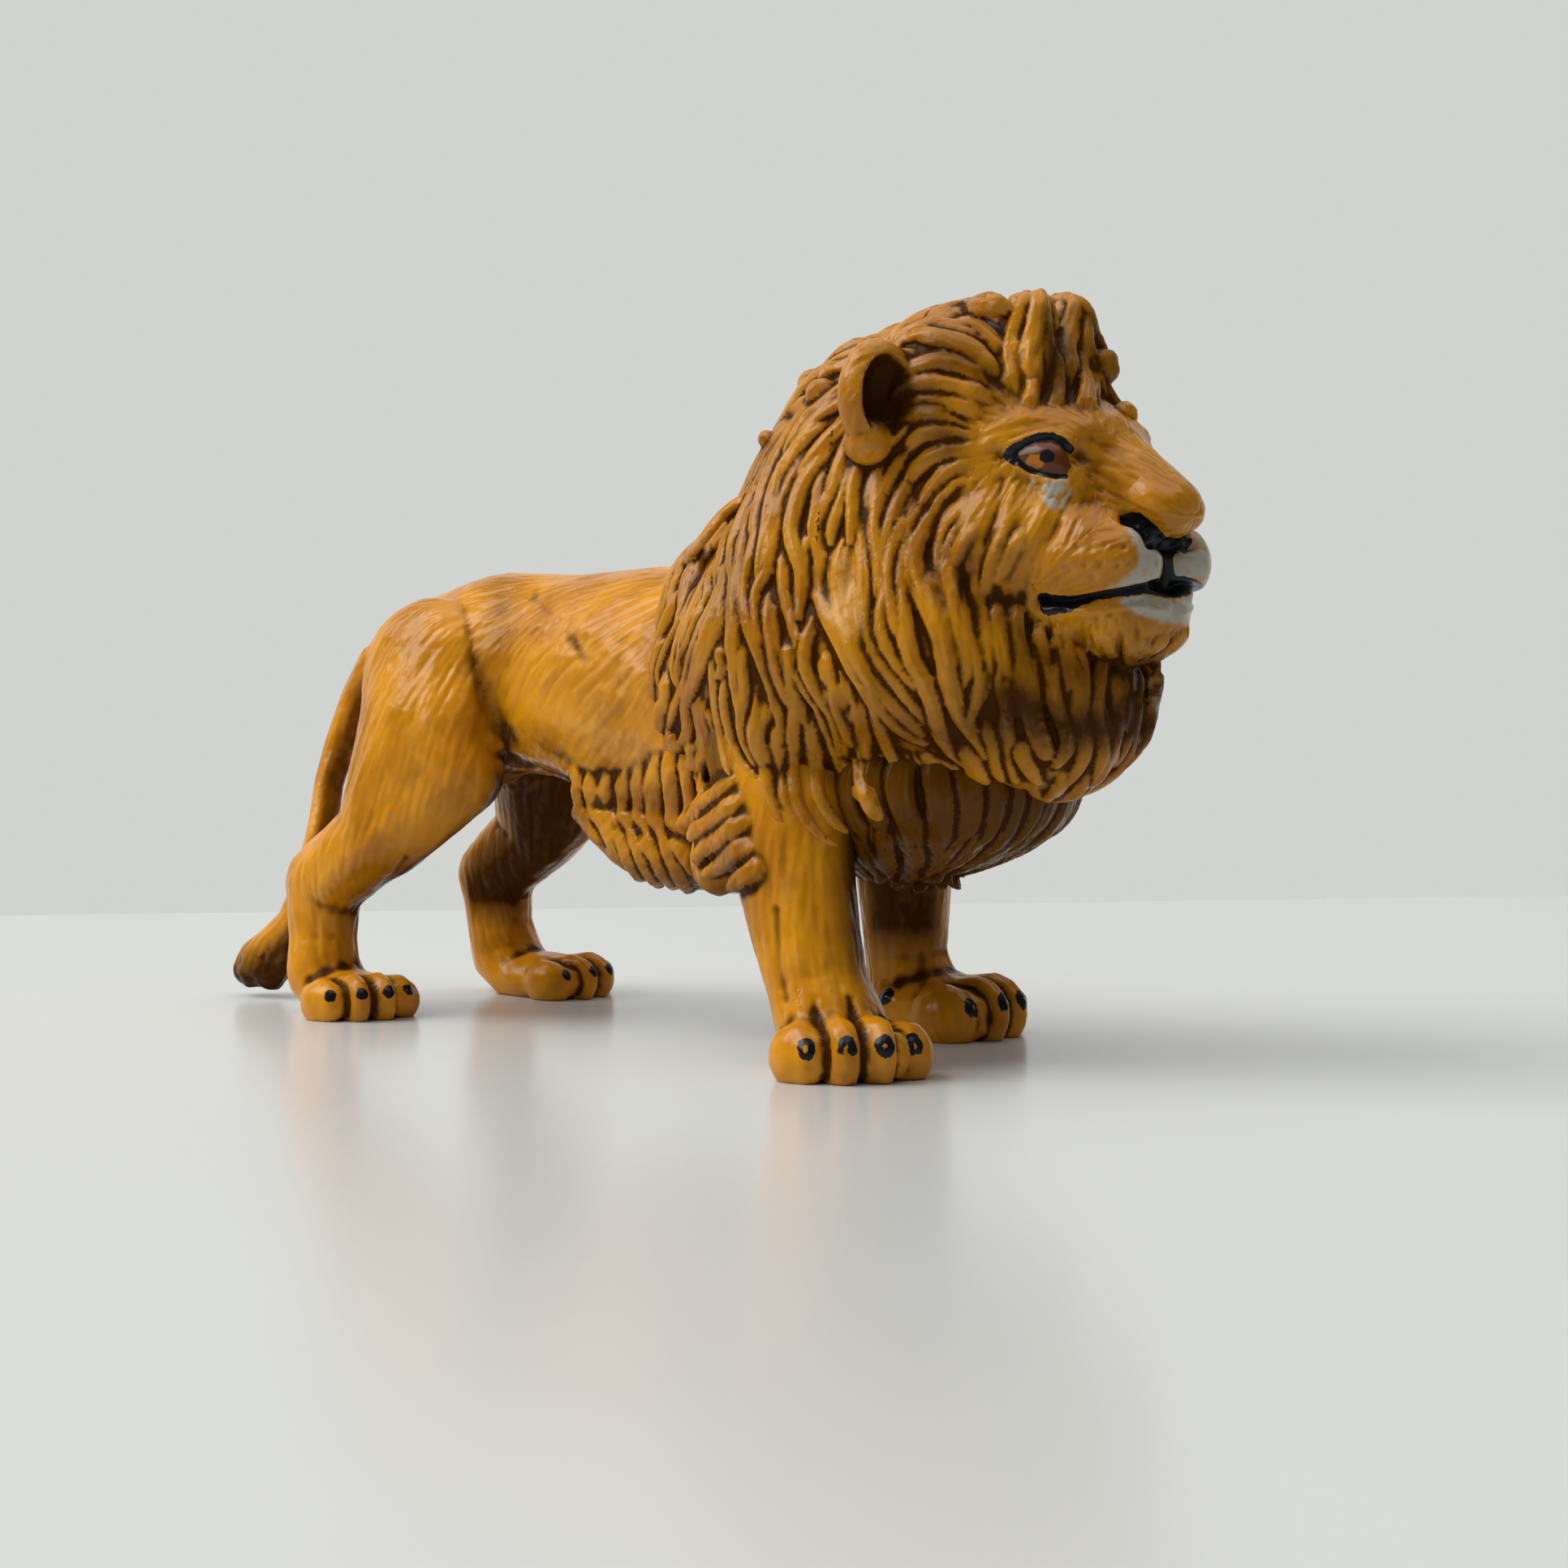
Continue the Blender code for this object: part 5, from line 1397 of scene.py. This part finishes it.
# Features of the face, carved after the hair: height in millimetres, half width, then the line
FACE_RELIEF = (
    (0.28, 6, (1240, 552), (1268, 537), (1296, 533), (1322, 546)),
    (0.20, 5, (1256, 576), (1278, 589), (1296, 593), (1313, 594)),
    (-0.55, 11, (1330, 562)), (-0.45, 9, (1232, 562)),
    (0.35, 15, (1225, 540), (1260, 516), (1300, 512), (1338, 528)),
    (-0.95, 7, (1386, 637), (1400, 641), (1412, 651), (1421, 668)),
    (-0.60, 6, (1421, 668), (1446, 684)), (0.40, 18, (1415, 612), (1440, 636)),
    (-0.75, 5, (1282, 744), (1320, 743), (1360, 734), (1395, 729), (1425, 722), (1450, 728)),
    (-0.50, 10, (1282, 745)), (0.50, 34, (1348, 690)), (-0.35, 12, (1300, 648), (1275, 690), (1262, 732)),
    (0.35, 6, (1320, 757), (1360, 750), (1400, 747), (1436, 752)),
    (-0.12, 4, (1332, 770), (1336, 795)), (-0.12, 4, (1352, 764), (1357, 800)),
    (-0.12, 4, (1376, 764), (1382, 803)), (-0.12, 4, (1400, 768), (1404, 805)),
    (-0.18, 9, (1345, 540), (1380, 560), (1400, 590)),
    (0.20, 10, (1290, 606), (1280, 640), (1262, 668)), (-0.22, 7, (1318, 612), (1306, 640), (1290, 664)),
    (-0.22, 6, (1235, 590), (1228, 630), (1215, 665)), (0.22, 7, (1248, 600), (1242, 640), (1228, 680)),
)
ALMOND = (
    (1252, 562), (1262, 551), (1278, 544), (1296, 543), (1308, 550), (1316, 560), (1320, 574),
    (1312, 585), (1290, 583), (1268, 577),
)
EYE_BULGE, EYE_SLOPE = 0.55, 16.0
GOLD_PATCH = (1277, 569, 13, 9)
PUPIL = (1292, 564, 8)
LID_LINES = (
    (5.2, (1242, 558), (1254, 551), (1268, 544), (1282, 540), (1296, 540), (1308, 545), (1319, 554)),
    (3.4, (1250, 567), (1262, 575), (1278, 582), (1294, 586), (1313, 588)),
)
LID_TIP = ((1232, 561), (1254, 548), (1256, 562), (1262, 576), (1246, 573))
UNDER_EYE = (
    (1266, 585), (1282, 588), (1316, 590), (1320, 608), (1312, 628), (1296, 630), (1280, 616),
    (1270, 602),
)
PHILTRUM_DEPTH, PHILTRUM_WIDTH, PHILTRUM_BAR = 0.95, 0.75, 0.95
PHILTRUM_LOW, PHILTRUM_HIGH = 46.8, 51.2
PHILTRUM_FLARE, FLARE_REACH = 0.22, 2.2
MOUTH_BLACK = (
    (1276, 742), (1279, 733), (1286, 730), (1300, 733), (1320, 734), (1340, 731), (1360, 727),
    (1380, 724), (1396, 721), (1410, 718), (1424, 713), (1434, 707), (1438, 698), (1435, 686),
    (1430, 677), (1421, 666), (1408, 654), (1396, 645), (1386, 638), (1380, 633), (1392, 630),
    (1403, 631), (1414, 638), (1425, 648), (1436, 660), (1446, 672), (1470, 676), (1470, 722),
    (1470, 736), (1446, 737), (1430, 736), (1412, 732), (1392, 736), (1372, 738), (1352, 741),
    (1334, 746), (1318, 754), (1302, 757), (1288, 760), (1280, 752),
)
LIP_WHITES = (
    ((1384, 639), (1383, 650), (1391, 662), (1396, 676), (1400, 690), (1397, 701), (1386, 709),
     (1372, 717), (1362, 726), (1384, 725), (1408, 720), (1428, 714), (1480, 714), (1480, 680),
     (1436, 678), (1426, 670), (1412, 657), (1398, 647)),
    ((1376, 740), (1390, 734), (1408, 731), (1430, 734), (1446, 737), (1470, 737), (1470, 766),
     (1450, 770), (1430, 770), (1410, 762), (1396, 760), (1384, 752)),
)
WHISKER_DOTS = (
    (1327, 674), (1345, 675), (1362, 674), (1384, 674), (1317, 699), (1339, 696), (1356, 696),
    (1376, 696), (1390, 694), (1349, 710),
)
DOT_RADIUS, DOT_WIDTH, DOT_DEPTH = 5.0, 4.0, 0.16
# Painted shade in the beard, under the jaw, at the temples and the crest, and low in the mane: share, half
# width, then the line
MANE_SHADES = (
    (1.00, 44, (1250, 865), (1310, 900), (1390, 890)), (0.80, 24, (1425, 830), (1405, 890)),
    (0.70, 30, (1140, 500), (1165, 545)), (0.75, 14, (1290, 385), (1296, 430), (1290, 480)),
    (0.55, 26, (1320, 430), (1310, 480)), (0.30, 50, (960, 860), (1060, 930)),
    (0.45, 40, (1130, 900), (1220, 900)), (0.20, 30, (1215, 620), (1225, 660)),
    (0.65, 24, (1242, 745), (1262, 800), (1330, 826), (1400, 824)),
    (0.55, 20, (1150, 430), (1200, 448), (1228, 474)), (0.40, 18, (1200, 690), (1210, 760)),
    (0.40, 22, (1062, 760), (1085, 850)), (0.30, 26, (905, 700), (880, 800)),
)
# Where the jaw and the muzzle take less of the painted shade in their grooves, in the same form
MANE_UNSHADED = (
    (0.8, 30, (1345, 690), (1300, 690)), (0.6, 22, (1330, 780), (1370, 785)),
)
SCUFF = ((1035, 680), (1057, 680), (1057, 780), (1040, 790), (1022, 760))
FINE_BOXES = (((1222, 528), (1332, 630)), ((1264, 622), (1480, 776)))
FACE_FROM, FACE_LOW, FACE_HIGH = 81.0, 40.0, 70.0
PADS_WIDE = 7.0
STRAND_LINES = (0.40, 2.6)
LINE_HEIGHT, FACE_LINES = 0.045, 0.03
FINE_GROOVES, WIDE_GROOVES = (16, 0.055, 0.8), (60, 0.20, 0.9)
MANE_TRIANGLES = 290000


def halved(item, chosen):
    """Splits the faces among the chosen vertices in four, for finer carving."""
    edit(item)
    leave()
    item.data.vertices.foreach_set("select", chosen)
    bpy.ops.object.mode_set(mode="EDIT")
    bpy.ops.mesh.select_mode(type="VERT")
    bpy.ops.mesh.subdivide(number_cuts=1)
    leave()


def thinned(item, fields, triangles):
    """Takes faces away where the skin is plain, and gives the fields of those that are left."""
    for name, values in fields.items():
        give(item, name, values)
    sizes = read(item.data.polygons, "loop_total", np.int32)
    apply(item, "DECIMATE", ratio=min(1.0, triangles / float((sizes - 2).sum())))
    return {name: read(item.data.attributes[name].data, "value") for name in fields}


def front_of_face(places, facing):
    """One on the parts of the face that a camera on that side can see, falling to nought."""
    gap = (places - np.array(HIND_FEET)) / MM
    turned = np.where(gap[:, 1:2] > 0.0, facing * LEFTWARDS, facing)
    towards = limited(-(turned @ np.array(SIGHT)) * 3.0)
    towards_eye = limited(-(facing @ np.array(SIGHT)) * 3.0)
    towards = np.where(np.abs(gap[:, 1]) < PADS_WIDE, np.maximum(towards, towards_eye), towards)
    band = (gap[:, 2] > FACE_LOW) & (gap[:, 2] < FACE_HIGH)
    return towards * band * limited((gap[:, 0] - FACE_FROM) / 2.0)


places, facing = points_of(sculpt)
pixels = photo_place(places)
near_paint = [
    (np.abs(pixels - (np.array(low) + high) / 2) < (np.array(high) - low) / 2).all(axis=1)
    for low, high in FINE_BOXES
]
halved(sculpt, (front_of_face(places, facing) > 0.05) & np.any(near_paint, axis=0))
places, facing = points_of(sculpt)
pixels = photo_place(places)
shown = front_of_face(places, facing)
in_eye = inside(pixels, ALMOND)
eyeball = limited(in_eye / EYE_SLOPE)
carved = relief(pixels, FACE_RELIEF) + EYE_BULGE * eyeball * (2.0 - eyeball)
from_midline = np.abs(places[:, 1] - HIND_FEET.y) / MM
height = places[:, 2] / MM
under_nose = limited(np.minimum(height - PHILTRUM_LOW, PHILTRUM_HIGH - height) + 0.5)
carved -= PHILTRUM_DEPTH * under_nose * np.exp(-(from_midline / PHILTRUM_WIDTH) ** 2)
for dot in WHISKER_DOTS:
    carved -= DOT_DEPTH * np.exp(-(from_point(pixels, dot) / DOT_WIDTH) ** 2)
places = places + facing * (carved * shown * MM)[:, None]
move_points(sculpt, places)
places, facing = points_of(sculpt)

lids = [width - line_distance(pixels, line) for width, *line in LID_LINES]
pupil = PUPIL[2] - np.hypot(pixels[:, 0] - PUPIL[0], pixels[:, 1] - PUPIL[1])
dots = np.max([DOT_RADIUS - from_point(pixels, dot) for dot in WHISKER_DOTS], axis=0)
mouth = inside(pixels, MOUTH_BLACK)
from_middle = limited(np.abs(height - (PHILTRUM_LOW + PHILTRUM_HIGH) / 2), FLARE_REACH)
flare = PHILTRUM_FLARE * from_middle ** 2
bar = (PHILTRUM_BAR + flare - from_midline) * 13.0 - (1.0 - under_nose) * 60.0
black = np.max([*lids, pupil, bar, mouth, inside(pixels, LID_TIP)], axis=0)
whites = np.max([inside(pixels, outline) for outline in LIP_WHITES], axis=0)
gold = 1.0 - np.hypot(
    (pixels[:, 0] - GOLD_PATCH[0]) / GOLD_PATCH[2], (pixels[:, 1] - GOLD_PATCH[1]) / GOLD_PATCH[3]
)
bare = limited(np.maximum(np.maximum(in_eye, mouth), whites) / 6.0 + 1.0) * shown

flow = nearest_flow(places, facing, guides)
strand_lines = strokes(places, flow, *STRAND_LINES, seed=3) * (1.0 - bare)
places = places + facing * (strand_lines * (LINE_HEIGHT + FACE_LINES * shown) * MM)[:, None]
move_points(sculpt, places)
grooves, wide = groove_shade(sculpt, FINE_GROOVES, WIDE_GROOVES)
under_eye = painted(inside(pixels, UNDER_EYE)) * limited(0.72 + strand_lines * 0.9)
# Painted shade fills the cups of the ears
cup = np.zeros(len(places))
for side in (-1, 1):
    middle = np.array(ear_place(side, CUP_FORWARD - 1.2))
    reach = np.linalg.norm((places - middle) / (np.array(CUP_RADII) * MM), axis=1)
    cup = np.maximum(cup, limited((1.05 - reach) * 3.0))
scuffed = painted(inside(pixels, SCUFF)) * (facing @ -np.array(SIGHT) > 0.2)
streaks = limited(0.85 + 0.4 * grain(places, 0.35 * MM, 31))
# Painted shade in the grooves and shaded places, and painted highlights on the tops of the ridges
mane_fields = {
    "painted_shade": limited(
        grooves * (1.0 - 0.5 * shown) * (1.0 - limited(relief(pixels, MANE_UNSHADED), 0.9))
        + cup + relief(pixels, MANE_SHADES)
    ) * (1.0 - scuffed),
    "rub_and_highlight": limited(-wide / (0.9 * MM) - 0.08, 0.6) + scuffed + painted(dots) * shown * 0.6,
    "stroke": strand_lines,
    "white": np.maximum(painted(whites) * streaks, under_eye) * shown,
    "amber": painted(in_eye) * shown,
    "gold": limited(0.5 + gold * 0.6) * (in_eye > 0) * shown,
    "black": painted(black * 1.6) * shown,
}
mane_fields = thinned(sculpt, mane_fields, MANE_TRIANGLES)
places = points_of(sculpt)[0]
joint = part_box("mane_collar")[1].x + 0.15 * MM
owner = (face_middles(sculpt, places[:, 0]) > joint).astype(int)
mane_plastic = lion_plastic("mane_plastic", 0.80)
parted(sculpt, ("mane_collar", "head"), mane_plastic, mane_fields, owner)

# Chest ruff: the hanging hair of the chest, a casting of its own that is glued in under the
# mane. Its locks hang straight down in two rows, darker than the mane with the painted shade that falls
# under it.

RUFF_SKIN_STEP = 0.24 * MM
RUFF_BALLS = ((73.1, 0, 27.5, 10.4, 13.6, 7.4), (68.3, 0, 23.4, 8.2, 10.7, 5.2))
# Rows of locks: top, bottom, degrees apart, width, and how proud they lie
RUFF_ROWS = ((33.0, 21.4, 13.0, 2.3, 0.55), (25.5, 16.9, 15.0, 2.1, 0.40))
RUFF_TURN = 150
BEYOND_RUFF = 0.04
RUFF_GROOVES, RUFF_FOLDS = (16, 0.06, 0.8), (60, 0.2, 0.7)
RUFF_SHADE = 0.68
RUFF_SEED = 700

ruff = stretched_skins("work_ruff", [RUFF_BALLS])
fuse(ruff, MASS_STEP, MASS_ROUNDS)
ruff_skin = skin_of(ruff)
luck = np.random.default_rng(21)
copies = []
for row, (top, bottom, spacing, width, proud) in enumerate(RUFF_ROWS):
    for turn in np.arange(-RUFF_TURN + row * spacing / 2, RUFF_TURN, spacing):
        line, ways = [], []
        end = bottom + luck.uniform(-0.7, 0.9) + abs(turn) / 180 * 1.5
        for share in np.linspace(0.0, 1.0, 6):
            wave = radians(turn + 2.5 * sin(share * 5.0 + turn))
            out = Vector((cos(wave), sin(wave), 0.0))
            heart = at(RUFF_BALLS[row][0] - share, 0, top + (end - top) * share)
            hit, normal, _, _ = ruff_skin.ray_cast(heart + out * BEYOND_RUFF, -out)
            if hit is None:
                hit, normal, _, _ = ruff_skin.find_nearest(heart + out * 6 * MM)
                hit = Vector((hit.x, hit.y, heart.z))
            line.append(hit)
            ways.append(normal)
        copies += clump(line, ways, width * MM, RUFF_SEED + len(copies), proud=proud)
ruff = join([ruff, strands_object("work_ruff_hair", copies)])
fuse(ruff, RUFF_SKIN_STEP, 1)
places, facing = points_of(ruff)
flow = levelled(np.tile((0.0, 0.0, -1.0), (len(places), 1)), facing)
hair = strokes(places, flow, *STRAND_LINES, seed=8)
move_points(ruff, places + facing * (hair * LINE_HEIGHT * MM)[:, None])
grooves, _ = groove_shade(ruff, RUFF_GROOVES, RUFF_FOLDS)
# The whole ruff takes painted shade, as it hangs under the mane
ruff_fields = {
    "painted_shade": limited(grooves + RUFF_SHADE),
    "rub_and_highlight": np.zeros(len(places)),
    "stroke": hair,
}
# A darker copy of the plastic stands for the shade under the mane
parted(ruff, ("chest_ruff",), lion_plastic("ruff_plastic_in_shade", 0.50), ruff_fields)
